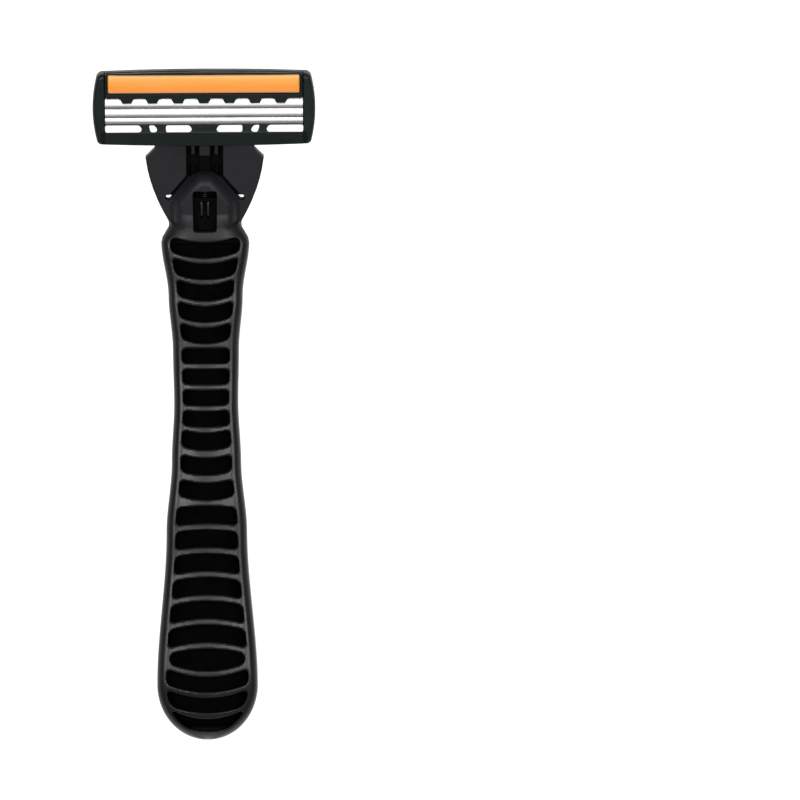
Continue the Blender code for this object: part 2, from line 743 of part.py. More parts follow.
def make_spacers(aluminium, shave):
    """Comb-shaped spacers that keep the blades apart, each lying on the blade in front."""
    names = list(BLADE_EDGES)
    for spacer, lower, upper in (("spacer_front", 0, 1), ("spacer_rear", 1, 2)):
        edge, behind = BLADE_EDGES[names[lower]], BLADE_EDGES[names[upper]]
        apart = (behind - edge) * math.sin(math.radians(BLADE_ANGLE))
        start = (behind - edge) + 0.9
        profile = tilted(edge, start, BLADE_WIDTH, FINE_GAP, apart - BLADE_THICK - FINE_GAP)
        part = add(spacer, slice_x(profile, -BLADE_HALF + 0.4, BLADE_HALF - 0.4), shave, aluminium)
        gaps = []
        for i in range(TEETH - 1):
            x = (i - (TEETH - 2) / 2) * TOOTH_PITCH
            gaps.append(box(x - COMB_GAP, x + COMB_GAP, 0.0, edge + 2.9, -3.0, 5.0))
        combine(part, merged(gaps), "DIFFERENCE", shave, "comb")


def main():
    for old in list(bpy.data.objects):
        bpy.data.objects.remove(old, do_unlink=True)
    black = material("black_plastic", (0.03, 0.03, 0.034), 0.4)
    frame_black = material("cartridge_plastic", (0.026, 0.034, 0.031), 0.45)
    rubber = material("black_rubber", (0.006, 0.006, 0.007), 0.7)
    gel = material("orange_strip", (0.94, 0.4, 0.08), 0.35)
    blade_steel = material("blade_steel", (0.82, 0.82, 0.8), 0.22, 1.0)
    spring_steel = material("spring_steel", (0.6, 0.6, 0.62), 0.3, 1.0)
    aluminium = material("aluminium", (0.75, 0.76, 0.77), 0.35, 1.0)

    lean = math.radians(LEAN)
    head = axis_empty("head_axes", (0.0, NECK_Y, SPLIT_AT_NECK), LEAN)
    rise = pivot_in_head() * math.sin(lean) + PIVOT_W * math.cos(lean)
    shave = axis_empty("pivot_axes", (0.0, NECK_Y + PIVOT_RISE, SPLIT_AT_NECK + rise), FACE_TILT)

    make_handle(black, rubber, head)
    make_arms(black, head)
    make_back_cover(black, head)
    make_slider(black, head)
    make_plunger(black, head)
    make_springs(spring_steel, head)
    make_saddle(black, head)
    make_frame(frame_black, shave)
    make_cap(frame_black, shave)
    make_strip(gel, shave)
    make_blades(blade_steel, shave)
    make_spacers(aluminium, shave)
    bpy.context.view_layer.update()


main()
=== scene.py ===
"""Looks of the cartridge razor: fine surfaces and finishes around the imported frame.

Lengths are millimetres and angles degrees until a mesh is made; MM turns them into metres.
Each moulded piece is a field: a function of x, y and z that is negative inside the piece. Fields are joined
and cut with rounded edges, and mesh_of() turns one into a mesh.
Three local frames carry the shapes, as in the CAD model:
  handle  s runs from the neck's narrowest point towards the butt
  head    q runs up the leaning neck and w stands on it
  shave   c runs across the cartridge from guard to cap and u out of it, from the pivot's axis
"""

import json
import math

import bpy
import numpy as np
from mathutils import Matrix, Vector


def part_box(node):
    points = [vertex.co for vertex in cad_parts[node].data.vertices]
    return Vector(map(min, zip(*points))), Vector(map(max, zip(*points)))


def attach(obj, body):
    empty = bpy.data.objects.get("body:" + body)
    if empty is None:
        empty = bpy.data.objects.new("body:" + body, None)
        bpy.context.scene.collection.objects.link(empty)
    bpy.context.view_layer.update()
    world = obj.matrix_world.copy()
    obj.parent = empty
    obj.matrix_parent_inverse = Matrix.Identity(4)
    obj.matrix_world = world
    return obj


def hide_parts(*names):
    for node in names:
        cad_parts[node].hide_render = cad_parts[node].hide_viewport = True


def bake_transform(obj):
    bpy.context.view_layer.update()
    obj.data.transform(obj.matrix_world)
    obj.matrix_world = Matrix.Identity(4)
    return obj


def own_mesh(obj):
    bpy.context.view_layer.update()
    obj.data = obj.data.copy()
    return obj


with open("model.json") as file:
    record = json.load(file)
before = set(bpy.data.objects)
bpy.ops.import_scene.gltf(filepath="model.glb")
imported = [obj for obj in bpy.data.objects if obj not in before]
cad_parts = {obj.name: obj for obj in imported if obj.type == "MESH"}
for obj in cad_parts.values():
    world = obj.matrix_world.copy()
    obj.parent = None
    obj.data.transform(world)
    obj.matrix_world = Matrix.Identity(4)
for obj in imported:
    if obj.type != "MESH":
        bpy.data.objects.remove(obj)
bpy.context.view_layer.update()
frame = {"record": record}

MM = 0.001
GAP = 0.3
FINE_GAP = 0.05
FAR = 9.0

# Handle
NECK_Y = 34.55
BUTT_S = 96.84
WIDEST_S = 86.5
WIDTHS = ((0, 6.5), (3.9, 8.2), (14, 6.9), (24, 6.15), (34, 5.97), (44.9, 6.45), (58, 7.5), (86.5, 9.35))
FRONT = ((0, 8.9), (4, 9.6), (14, 9.1), (30, 8.5), (50, 9.0), (70, 10.2), (84, 10.8))
SHELL_SPLIT = 3.5
SPLIT_AT_NECK = 4.5
BACK_LAND_START = 16.0
BACK_RISE = 2.8
BACK_END_START = 88.0
BACK_SHELL_START = 2.5
WALL = 1.55
LADDER_DEPTH = 2.3
CORE_DEPTH = 4.0
TRAY_FLOOR = 1.5
CAVITY = (4.4, 94.3)
SLOT_CORNER = 0.9
SLOT_SIDE = 1.75
# Grip slots in groups: how many, first station, pitch, length, bow at the first and the last edge, and the
# distance that their ends keep from the handle's sides
SLOT_GROUPS = (
    (5, 4.2, 3.98, 2.8, 1.25, 1.0, SLOT_SIDE),
    (4, 23.87, 3.93, 2.75, 0.0, 0.3, SLOT_SIDE),
    (3, 39.7, 4.65, 3.05, 0.7, 0.8, SLOT_SIDE),
    (6, 53.25, 4.42, 3.15, -0.3, -1.0, SLOT_SIDE),
    (1, 79.8, 4.1, 4.05, -1.0, 1.5, 2.25),
    (2, 85.1, 3.88, 2.75, 1.6, 1.5, SLOT_SIDE),
    (1, 92.9, 2.4, 2.4, 1.2, 0.0, 1.25),
)
SEAM = 0.01
PART_S = 4.6
POCKET_DEPTH = 1.1
SIDE_ROUND = 2.1
BACK_ROUND = 2.4
LIP_ROUND = 0.3
PARTING_ROUND = 0.26
LADDER_DIP = 0.45
# Fillet between handle and head: its radius in the middle and at the sides, and where it fades between them
NECK_FILLET = (2.4, 0.4)
NECK_FADE = (3.6, 2.2)
INNER_REACH = 0.15

# Head
LEAN = 14.0
PLATE = 2.4
BULLET_TOP = 4.8
BULLET_ROUND = 2.2
BULLET_CROWN = 1.1
BULLET = ((6.3, -4.5), (6.4, 0.0), (6.2, 4.65), (2.9, 8.4), (1.3, 9.75))
ARM_TIP = 15.9
ARM_CORNER_Q = 12.6
ARM_INNER_X = 3.37
ARM_TOE = (10.1, 15.2)
CHAMFER_TOP = (9.3, 14.3)
KEYHOLE = (6.86, 5.0)
KEYHOLE_RADIUS = 0.5
HINGE_Q = 5.0
HINGE_BEND = 2.5
SLIT_Q = 9.05
SLIT_WIDTH = 0.6
CHAMBER_X = 3.4
CHAMBER_Q = (-2.6, 7.0)
CHAMBER_TOP = 3.5
SEAT_X = 2.2
SEAT_Q = 8.0
MOUTH_X = 2.75
MOUTH_TOP = 2.1
WINDOW = (2.25, -0.95, 6.6)
COVER = (
    (4.6, -2.4), (5.4, -1.6), (5.9, 3.0), (6.2, 4.8), (6.75, 5.2), (6.75, 5.7), (5.5, 7.2),
    (3.7, 9.3), (3.7, 14.5),
)
COVER_W = (-1.9, -0.15)
GROOVES = (1.0, 1.1)
GUIDE = (1.22, 1.73, 3.2, 7.4, -0.6, 1.6)
SLIDER_X = 2.9
SLIDER_Q = (-1.9, 5.0)
SLIDER_W = (1.95, 2.7)
SLIDER_TRAVEL = 1.7
RIB_X = 0.6
RIB_HALF = 0.2
RIB = ((0.7, 2.5), (4.7, 2.5), (4.4, 4.0), (3.6, 3.9))
PRONG = (1.85, 2.55)
PRONG_W = (0.15, 0.8)
WEB = (-1.7, 1.1, 0.1, 2.3)
PLUNGER_HALF = 1.1
PLUNGER_Q = (1.9, 16.5)
PLUNGER_W = (0.1, 1.7)
PLUNGER_STEM = (12.6, 0.9)
FLANGE = (1.6, 0.9)
COIL_TURNS = 6
PLUNGER_COIL = (0.62, 0.13, 0.95)
SLIDER_COIL = (0.42, 0.1, 2.6)
SADDLE_Q = (14.85, 15.95)
SADDLE_W = (-1.9, -0.35)
CHEEK_RADIUS = 1.1
PUSH_X = (1.8, PRONG[1])
PUSH_Q = (12.9, 15.35)
PUSH_W = (0.15, 1.4)
PUSH_ROOT_W = -1.0
PRONG_TIP = PUSH_Q[0] - SLIDER_TRAVEL - GAP

# Cartridge
PIVOT_RISE = 15.31
PIVOT_W = 2.9
FACE_TILT = 18.0
PIN_RADIUS = 0.5
PIN_CLEARANCE = 0.05
HALF_WIDTH = 20.7
SIDE_BULGE = 1.05
EDGE_BULGE = 0.42
GUARD_C = -1.0
GUARD_END = 1.85
GUARD_FALL = 0.25
GUARD_RUN = 3.35
GUARD_FLOOR = (1.0, 0.25)
CREST_START = 1.8
CREST_DROP = 0.1
CREST_END = (3.6, 2.05)
CAP_C = 13.5
OPENING_X = 18.5
FACE_U = 2.3
UNDER_U = -0.4
FRAME_TOP = 2.9
REAR_SHELF = (10.9, 1.55)
BED_LEAD = 0.12
BED_END = 12.3
BLADE_ANGLE = 23.0
BLADE_EDGE_U = 2.45
BLADE_EDGES = {"blade_front": 3.36, "blade_middle": 4.65, "blade_rear": 6.39}
BLADE_WIDTH = 4.6
BLADE_THICK = 0.12
BLADE_HALF = 18.35
BLADE_GRIND = 0.5
RINSE_C = (1.82, 3.2)
RINSE_X = ((2.3, 7.1), (8.8, 10.3), (11.6, 18.4))
WEBS = ((0.0, 2.3), (7.1, 8.8), (10.3, 11.6), (14.6, 15.6), (18.0, 18.4))
FLOW_C = (3.3, 10.6)
FLOW_U = (-3.0, 4.0)
CAP_UNDER = 2.1
CAP_BODY = (9.0, 12.95, 1.65)
CAP_FOOT = (16.2, 17.8, 10.95, 12.1, 0.75)
TEETH = 7
TOOTH_PITCH = 4.77
TOOTH_BASE = 2.7
TOOTH_TIP = 1.75
TOOTH_C = (7.5, 8.4)
STRIP = (-17.8, 17.8, 9.52, 12.96)
STRIP_FLOOR = 2.4
STRIP_TOP = 3.2
POCKET_GAP = 0.15
COMB_GAP = 1.4
LUG_X = (11.75, 12.9)
LUG_RADIUS = 1.0
CHEEK_X = (10.4, 11.5)
CAM = (-1.6, 1.6, 0.2, 1.3, -2.6, 0.8)
RECESS_GAP = 0.35

# Studio
FLOOR_Z = -0.0001
FLOOR_HALF = 3.0
STRIP_LIGHT_X = 0.38
STRIP_WATTS = 7.5
FRONT_WATTS = 0.15
CAMERA_HEIGHT = 2.5
VIEW_WIDTH = 0.1488
VIEW_CENTRE = (0.03613, 0.0009)
CAMERA_ROLL = -0.3


# Places


def interpolate(table, s):
    """A smooth curve through a few (station, value) points, with no overshoot between them."""
    value = np.full(np.shape(s), float(table[0][1]))
    for (s0, v0), (s1, v1) in zip(table, table[1:]):
        t = np.clip((s - s0) / (s1 - s0), 0, 1)
        value = value + (v1 - v0) * t * t * (3 - 2 * t)
    return value


def rounding(s, start, end):
    """1 up to start, then an ellipse's quarter down to 0 at end."""
    t = np.clip((s - start) / (end - start), 0, 1)
    return np.sqrt(1 - t * t)


def half_width(s):
    return interpolate(WIDTHS, s) * rounding(s, WIDEST_S, BUTT_S)


def split_height(s):
    return np.maximum(SHELL_SPLIT, SPLIT_AT_NECK - s * math.tan(math.radians(LEAN)))


def front_height(s):
    low = split_height(s)
    return low + (interpolate(FRONT, s) - low) * rounding(s, FRONT[-1][0], BUTT_S + 0.8)


def back_height(s):
    rise = BACK_RISE * np.maximum(0, 1 - s / BACK_LAND_START) ** 2
    return rise + SHELL_SPLIT * (1 - rounding(s, BACK_END_START, BUTT_S + 0.4))


def wing_edge(q):
    """The head's outer edge, a shallow parabola from the neck to the arm's corner."""
    return WIDTHS[0][1] + 0.605 * q - 0.0195 * q * q


def turned(y, z, origin, angle):
    """Handle coordinates read in a frame that leans up by angle about X at origin."""
    cos, sin = math.cos(math.radians(angle)), math.sin(math.radians(angle))
    y, z = y - origin[0], z - origin[1]
    return y * cos + z * sin, z * cos - y * sin


def pivot_place():
    """(q in the head's frame, y, z) of the cartridge's pivot."""
    lean = math.radians(LEAN)
    q = (PIVOT_RISE + PIVOT_W * math.sin(lean)) / math.cos(lean)
    return q, NECK_Y + PIVOT_RISE, SPLIT_AT_NECK + q * math.sin(lean) + PIVOT_W * math.cos(lean)


PIVOT_Q, PIVOT_Y, PIVOT_Z = pivot_place()
HEAD_ORIGIN = (NECK_Y, SPLIT_AT_NECK)
SHAVE_ORIGIN = (PIVOT_Y, PIVOT_Z)


def in_head(field):
    """A field written in x, q, w, to be read in x, y, z."""
    return lambda x, y, z: field(x, *turned(y, z, HEAD_ORIGIN, LEAN))


def in_shave(field):
    """A field written in x, c, u, to be read in x, y, z."""
    return lambda x, y, z: field(x, *turned(y, z, SHAVE_ORIGIN, FACE_TILT))


# Fields


def meet(a, b, edge=0.0):
    """Where both fields are inside, with the edge between them rounded to that radius."""
    if not edge:
        return np.maximum(a, b)
    return np.minimum(-edge, np.maximum(a, b)) + np.hypot(np.maximum(edge + a, 0), np.maximum(edge + b, 0))


def join(a, b, fillet=0.0):
    return -meet(-a, -b, fillet)


def cut(a, b, edge=0.0):
    return meet(a, -b, edge)


def block(a, b, c, a_range, b_range, c_range, edge=0.0):
    """A box in any three coordinates, with every edge rounded."""
    away = []
    for value, (low, high) in ((a, a_range), (b, b_range), (c, c_range)):
        away.append(np.abs(value - (low + high) / 2) - (high - low) / 2 + edge)
    outside = np.sqrt(sum(np.maximum(d, 0) ** 2 for d in away))
    return outside + np.minimum(np.maximum(np.maximum(*away[:2]), away[2]), 0) - edge


def polygon(points):
    """The signed distance to an outline, as a function of its two coordinates."""
    points = [tuple(p) for p in points]

    def field(a, b):
        nearest = np.full(np.shape(a), np.inf)
        inside = np.zeros(np.shape(a), bool)
        for (a0, b0), (a1, b1) in zip(points, points[1:] + points[:1]):
            da, db = a1 - a0, b1 - b0
            t = np.clip(((a - a0) * da + (b - b0) * db) / (da * da + db * db), 0, 1)
            nearest = np.minimum(nearest, (a - a0 - da * t) ** 2 + (b - b0 - db * t) ** 2)
            inside ^= ((b0 > b) != (b1 > b)) & (a < a0 + (b - b0) * da / (db or 1.0))
        return np.where(inside, -1, 1) * np.sqrt(nearest)

    return field


def softened(points, radius):
    """An outline whose corners become short curves."""
    count = len(points)
    result = []
    for i, point in enumerate(points):
        here = np.array(point, float)
        reach = []
        for other in (points[i - 1], points[(i + 1) % count]):
            step = np.array(other, float) - here
            length = np.hypot(*step)
            reach.append(here + step * min(radius, 0.45 * length) / length)
        for t in (0.0, 0.25, 0.5, 0.75, 1.0):
            result.append(tuple(reach[0] * (1 - t) ** 2 + here * 2 * t * (1 - t) + reach[1] * t * t))
    return result


def mirrored(outline):
    return [(-a, b) for a, b in reversed(outline)]


def whole(right):
    """A right half's points, from its top to its bottom, closed with their mirror image."""
    return list(right) + mirrored(right)


class Plan:
    """A flat field sampled once on a fine grid and then read by interpolation, for long outlines."""

    def __init__(self, field, low, high, step):
        self.low, self.step = low, step
        axes = [np.arange(low[i], high[i] + step, step) for i in (0, 1)]
        self.table = field(*np.meshgrid(*axes, indexing="ij"))

    def __call__(self, a, b):
        u = np.clip((a - self.low[0]) / self.step, 0, self.table.shape[0] - 1.001)
        v = np.clip((b - self.low[1]) / self.step, 0, self.table.shape[1] - 1.001)
        i, j = u.astype(int), v.astype(int)
        u, v = u - i, v - j
        near = self.table[i, j] * (1 - v) + self.table[i, j + 1] * v
        far = self.table[i + 1, j] * (1 - v) + self.table[i + 1, j + 1] * v
        return near * (1 - u) + far * u


# Meshes

# How often vertices are moved onto the surface and onto a seam, and when they count as being on it
SURFACE_STEPS = 3
SEAM_STEPS = 4
ON_SURFACE = 0.01


def gradient(field, points, step=0.02):
    x, y, z = points.T
    return np.stack([
        field(x + step, y, z) - field(x - step, y, z),
        field(x, y + step, z) - field(x, y - step, z),
        field(x, y, z + step) - field(x, y, z - step),
    ], axis=1) / (2 * step)


def net(field, low, high, voxel):
    """Surface nets: a vertex in each grid cell that the surface crosses and a quad for each crossed edge."""
    axes = [np.arange(low[i] - 2.5 * voxel, high[i] + 2.5 * voxel, voxel) for i in range(3)]
    values = field(*np.meshgrid(*axes, indexing="ij"))
    inside = values < 0
    shape = tuple(n - 1 for n in values.shape)
    corners = [(i, j, k) for i in (0, 1) for j in (0, 1) for k in (0, 1)]

    def corner(array, place):
        return array[tuple(slice(p, p + n) for p, n in zip(place, shape))]

    filled = sum(corner(inside, c).astype(np.int8) for c in corners)
    cells = np.argwhere((filled > 0) & (filled < 8))
    number = np.full(shape, -1)
    number[tuple(cells.T)] = np.arange(len(cells))

    total = np.zeros((len(cells), 3))
    crossings = np.zeros(len(cells))
    for a in corners:
        for axis in range(3):
            if a[axis]:
                continue
            b = tuple(1 if i == axis else n for i, n in enumerate(a))
            start = values[tuple((cells + a).T)]
            end = values[tuple((cells + b).T)]
            crossed = (start < 0) != (end < 0)
            t = np.where(crossed, start / np.where(crossed, start - end, 1), 0)
            place = np.array(a, float) + t[:, None] * np.eye(3)[axis]
            total += place * crossed[:, None]
            crossings += crossed
    origin = np.array([axis[0] for axis in axes])
    points = origin + voxel * (cells + total / crossings[:, None])

    quads = []
    for axis in range(3):
        u, v = (axis + 1) % 3, (axis + 2) % 3
        ends = [slice(1, -1)] * 3
        ends[axis] = slice(0, -1)
        begin = inside[tuple(ends)]
        ends[axis] = slice(1, None)
        finish = inside[tuple(ends)]
        crossed = np.argwhere(begin != finish)
        offset = np.array([1 if i != axis else 0 for i in range(3)])
        cell = crossed + offset
        step_u, step_v = np.eye(3, dtype=int)[u], np.eye(3, dtype=int)[v]
        ring = [number[tuple((cell - a).T)] for a in (step_u + step_v, step_v, 0 * step_u, step_u)]
        faces = np.stack(ring, axis=1)
        outward = begin[tuple(crossed.T)]
        faces[~outward] = faces[~outward][:, ::-1]
        quads.append(faces)
    return points, np.concatenate(quads)


def project(field, points, limit):
    slope = gradient(field, points)
    steep = np.maximum((slope**2).sum(1), 0.25)
    move = slope * (field(*points.T) / steep)[:, None]
    length = np.maximum(np.linalg.norm(move, axis=1), 1e-9)
    return points - move * np.minimum(1, limit / length)[:, None]


def mesh_of(name, field, node, voxel, seam=None, reach=None, inner=None):
    """A field's surface inside a CAD node's box, drawn onto the exact surface and shaded with its normals.

    seam is a second field that cuts the first off with a sharp edge that doesn't show in the shading, reach
    limits the mesh to a range of y, and inner tells which faces take the second material slot.
    """
    low, high = (np.array(corner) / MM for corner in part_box(node))
    if reach:
        low[1], high[1] = max(low[1], reach[0]), min(high[1], reach[1])

    def solid(x, y, z):
        return np.maximum(field(x, y, z), seam(x, y, z)) if seam else field(x, y, z)

    points, faces = net(solid, low, high, voxel)
    edge = np.zeros(len(points), bool)
    if seam:
        edge = np.maximum(np.abs(field(*points.T)), np.abs(seam(*points.T))) < 0.55 * voxel
    for _ in range(SURFACE_STEPS):
        points = project(solid, points, 0.5 * voxel)
    for _ in range(SEAM_STEPS if edge.any() else 0):
        points[edge] = project(field, points[edge], voxel)
        points[edge] = project(seam, points[edge], voxel)
    shown = np.abs(field(*points.T)) < ON_SURFACE
    normals = np.where(shown[:, None], gradient(field, points), gradient(solid, points))
    normals /= np.maximum(np.linalg.norm(normals, axis=1), 1e-9)[:, None]
    mesh = bpy.data.meshes.new(name)
    mesh.from_pydata(points * MM, [], faces)
    mesh.shade_smooth()
    mesh.normals_split_custom_set_from_vertices(normals)
    if inner:
        dark = inner(*points[faces].mean(axis=1).T)
        mesh.polygons.foreach_set("material_index", dark.astype(np.int32))
    return mesh


def extrusion(outline, low, high, axes):
    """A flat outline given thickness; axes turns (across, along, up) of the outline into x, y, z."""
    count = len(outline)
    points = [axes(a, b, h) for h in (low, high) for a, b in outline]
    faces = [list(range(count))[::-1], list(range(count, 2 * count))]
    faces += [[i, (i + 1) % count, (i + 1) % count + count, i + count] for i in range(count)]
    return points, faces


def point_from(origin, angle):
    """A function that turns (x, along, up) of a leaning frame into x, y, z."""
    cos, sin = math.cos(math.radians(angle)), math.sin(math.radians(angle))
    return lambda x, a, b: (x, origin[0] + a * cos - b * sin, origin[1] + a * sin + b * cos)


head_point = point_from(HEAD_ORIGIN, LEAN)
shave_point = point_from(SHAVE_ORIGIN, FACE_TILT)


def plain_mesh(name, points, faces):
    mesh = bpy.data.meshes.new(name)
    mesh.from_pydata([Vector(p) * MM for p in points], [], faces)
    return mesh


# Handle


def handle_outline():
    """The handle seen from the front, from the neck around the butt."""
    stations = [*np.arange(0, WIDEST_S, 1.0)]
    stations += [WIDEST_S + (BUTT_S - WIDEST_S) * math.sin(math.radians(a)) for a in range(0, 90, 4)]
    right = [(float(half_width(s)), NECK_Y - s) for s in stations]
    return right + [(0.0, NECK_Y - BUTT_S)] + mirrored(right)


def grip_slots():
    """(start, end, bow at start, bow at end, inset) of every slot, from the neck to the butt."""
    slots = []
    for count, first, pitch, length, bow_first, bow_last, inset in SLOT_GROUPS:
        edges = 2 * count - 1
        for i in range(count):
            bows = [bow_first + (bow_last - bow_first) * n / edges for n in (2 * i, 2 * i + 1)]
            start = first + pitch * i
            slots.append((start, start + length, *bows, inset))
    return slots


def slots_field(outline):
    """The distance to the nearest grip slot: a band with bowed edges, kept inside the handle's rim."""

    def field(x, y):
        s = NECK_Y - y
        nearest = np.full(np.shape(x), 3.0)
        for start, end, bow_start, bow_end, inset in grip_slots():
            side = float(half_width(start)) - SLOT_SIDE
            across = np.clip(np.abs(x) / side, 0, 1.2)
            upper, lower = start - bow_start * across**2, end - bow_end * across**2
            slope = 2 * max(abs(bow_start), abs(bow_end)) * across / side
            band = np.maximum(upper - s, s - lower) / np.sqrt(1 + slope**2)
            corner = min(SLOT_CORNER, 0.3 * (end - start))
            nearest = np.minimum(nearest, meet(band, outline(x, y) + inset, corner))
        return nearest

    return field


class Handle:
    """The fields that both shells and the core share."""

    def __init__(self):
        low = (-WIDTHS[-1][1] - 1.0, NECK_Y - BUTT_S - 1.0)
        high = (-low[0], NECK_Y + 1.0)
        self.outline = Plan(polygon(handle_outline()), low, high, 0.15)
        self.slots = Plan(slots_field(self.outline), low, high, 0.08)

    def hollow(self, x, y, z, inset, floor, roof, ends=0.0):
        s = NECK_Y - y
        field = meet(self.outline(x, y) + WALL + inset, np.maximum(floor(s) - z, z - roof(s)), 0.3)
        return np.maximum(field, np.maximum(CAVITY[0] + ends - s, s - CAVITY[1] + ends))

    def front(self, x, y, z):
        s = NECK_Y - y
        outline = self.outline(x, y)
        across = np.clip(np.abs(x) / np.maximum(half_width(s) - SLOT_SIDE * 0.6, 1), 0, 1)
        dip = LADDER_DIP * (1 - across**2) * np.clip((s - 1.5) / 3, 0, 1)
        body = meet(outline, z - front_height(s) + dip, SIDE_ROUND)
        body = meet(body, split_height(s) - z, PARTING_ROUND)
        head = self.head(x, y, z)
        middle, side = (join(body, head, radius) for radius in NECK_FILLET)
        share = np.clip((np.abs(x) - NECK_FADE[0]) / NECK_FADE[1], 0, 1)
        body = middle * (1 - share) + side * share
        hollow = self.hollow(x, y, z, 0.0, lambda s: 1.0, lambda s: front_height(s) - LADDER_DEPTH)
        body = cut(body, hollow)
        body = cut(body, np.maximum(self.slots(x, y), 4.5 - z), LIP_ROUND)
        return cut(body, self.chambers(x, y, z), 0.12)

    def head(self, x, y, z):
        q, w = turned(y, z, HEAD_ORIGIN, LEAN)
        plate = meet(ROOT(x, q), np.maximum(w - PLATE, -w), 0.25)
        crown = BULLET_CROWN * (x / 6) ** 2
        bullet = meet(meet(BULLET_PLAN(x, q), w - BULLET_TOP + crown, BULLET_ROUND), 1.0 - w)
        return join(plate, bullet, 0.9)

    def chambers(self, x, y, z):
        q, w = turned(y, z, HEAD_ORIGIN, LEAN)
        chamber = block(x, q, w, (-CHAMBER_X, CHAMBER_X), CHAMBER_Q, (-2.0, CHAMBER_TOP))
        seat = block(x, q, w, (-SEAT_X, SEAT_X), (CHAMBER_Q[1] - 0.5, SEAT_Q), (-2.0, CHAMBER_TOP))
        mouth = block(x, q, w, (-MOUTH_X, MOUTH_X), (CHAMBER_Q[0] + 1, 13.0), (-2.0, MOUTH_TOP))
        window = np.maximum(WINDOW_PLAN(x, q), 3.0 - w)
        holes = np.hypot(np.abs(x) - KEYHOLE[0], q - KEYHOLE[1]) - KEYHOLE_RADIUS
        return np.minimum(np.minimum(np.minimum(chamber, seat), mouth), np.minimum(window, holes))

    def upper_seam(self, x, y, z):
        """Parts the head from the grip, and its plate from the arms."""
        q, _ = turned(y, z, HEAD_ORIGIN, LEAN)
        hinge = np.where(np.abs(x) > KEYHOLE[0], q - HINGE_Q + SEAM, -FAR)
        return np.maximum(hinge, NECK_Y - y - PART_S + SEAM)

    def lower_seam(self, x, y, z):
        return PART_S + SEAM - (NECK_Y - y)

    def inside(self, x, y, z):
        """Whether a place is down in a grip slot, in the hollow or in the head's chamber, where the faces
        take painted shade.
        """
        s = NECK_Y - y
        q, w = turned(y, z, HEAD_ORIGIN, LEAN)
        deep = z < front_height(s) - POCKET_DEPTH
        slot = (self.slots(x, y) < INNER_REACH) & deep & (s > 2.0)
        roofed = (z < front_height(s) - LADDER_DEPTH + 0.1) & (s > CAVITY[0] - 0.2)
        hollow = (self.outline(x, y) < INNER_REACH - WALL) & roofed
        return slot | hollow | ((self.chambers(x, y, z) < 0.08) & (w < CHAMBER_TOP + 0.8) & (q < 13.0))

    def back(self, x, y, z):
        s = NECK_Y - y
        body = meet(self.outline(x, y), back_height(s) - z, BACK_ROUND)
        body = meet(body, z - split_height(s) + 0.1, PARTING_ROUND)
        body = meet(body, BACK_SHELL_START - s, 0.2)
        hollow = self.hollow(x, y, z, 0.0, lambda s: back_height(s) + TRAY_FLOOR, lambda s: s * 0 + 8)
        return cut(body, hollow)

    def tray(self, x, y, z):
        """Whether a place is inside the back shell, where the faces take painted shade."""
        s = NECK_Y - y
        above = (z > back_height(s) + TRAY_FLOOR - 0.1) & (s > CAVITY[0] - 0.1)
        return (self.outline(x, y) < 0.1 - WALL) & above

    def core(self, x, y, z):
        def floor(s):
            return back_height(s) + TRAY_FLOOR + GAP

        def roof(s):
            return front_height(s) - CORE_DEPTH

        return self.hollow(x, y, z, FINE_GAP + GAP / 2, floor, roof, GAP)


def slit_lower_edge():
    """The head's edge below the slit, on the right side, from the middle out to the keyhole."""
    across = (KEYHOLE[0] - ARM_INNER_X, KEYHOLE[1] - SLIT_Q)
    length = math.hypot(*across)
    off = (across[1] / length * SLIT_WIDTH, -across[0] / length * SLIT_WIDTH)
    return [
        (ARM_INNER_X + off[0], SLIT_Q + off[1]),
        (KEYHOLE[0] + off[0] * 0.5 - 0.2, KEYHOLE[1] + off[1] * 0.5),
    ]


def root_outline():
    """Runs a little past the arm's root, where the field is cut off square so that no groove shows."""
    q = HINGE_Q + 1.0
    right = [(6.2, -4.0), (6.5, 0.0)]
    right += [(wing_edge(step), step) for step in (1.2, 2.4, 3.6, 4.6)]
    right += [(wing_edge(q), q), (KEYHOLE[0] + 0.1, q), (KEYHOLE[0] + 0.1, KEYHOLE[1])]
    right += reversed(slit_lower_edge())
    return whole(right + [(1.3, 9.4)])


def window_outline():
    half, low, high = WINDOW
    return softened(whole([(half, high), (half - 0.12, low)]), 0.6)


ROOT = polygon(root_outline())
BULLET_PLAN = polygon(softened(whole(BULLET), 0.8))
WINDOW_PLAN = polygon(window_outline())


def arm_outline():
    q = HINGE_Q - 1.0
    edge = [(wing_edge(step), step) for step in (6.5, 8.4, 10.3)]
    outline = [(KEYHOLE[0] + 0.1, q), (wing_edge(q), q), *edge, (wing_edge(ARM_CORNER_Q), ARM_CORNER_Q)]
    outline += [CHAMFER_TOP, (CHAMFER_TOP[0], ARM_TOE[1]), ARM_TOE, (ARM_TOE[0], ARM_TIP)]
    return outline + [(ARM_INNER_X, ARM_TIP), (ARM_INNER_X, SLIT_Q), (KEYHOLE[0] - 0.1, KEYHOLE[1] + 0.15)]


ARM = polygon(arm_outline())


def arm_field(side):
    def field(x, q, w):
        across = side * x
        body = meet(ARM(across, q), np.maximum(w - PLATE, -w), 0.25)
        return cut(body, np.hypot(across - KEYHOLE[0], q - KEYHOLE[1]) - KEYHOLE_RADIUS, 0.1)

    return in_head(field)


@in_head
def arm_seam(x, q, w):
    return HINGE_Q + SEAM - q


COVER_PLAN = polygon(softened(whole(COVER), 0.5))


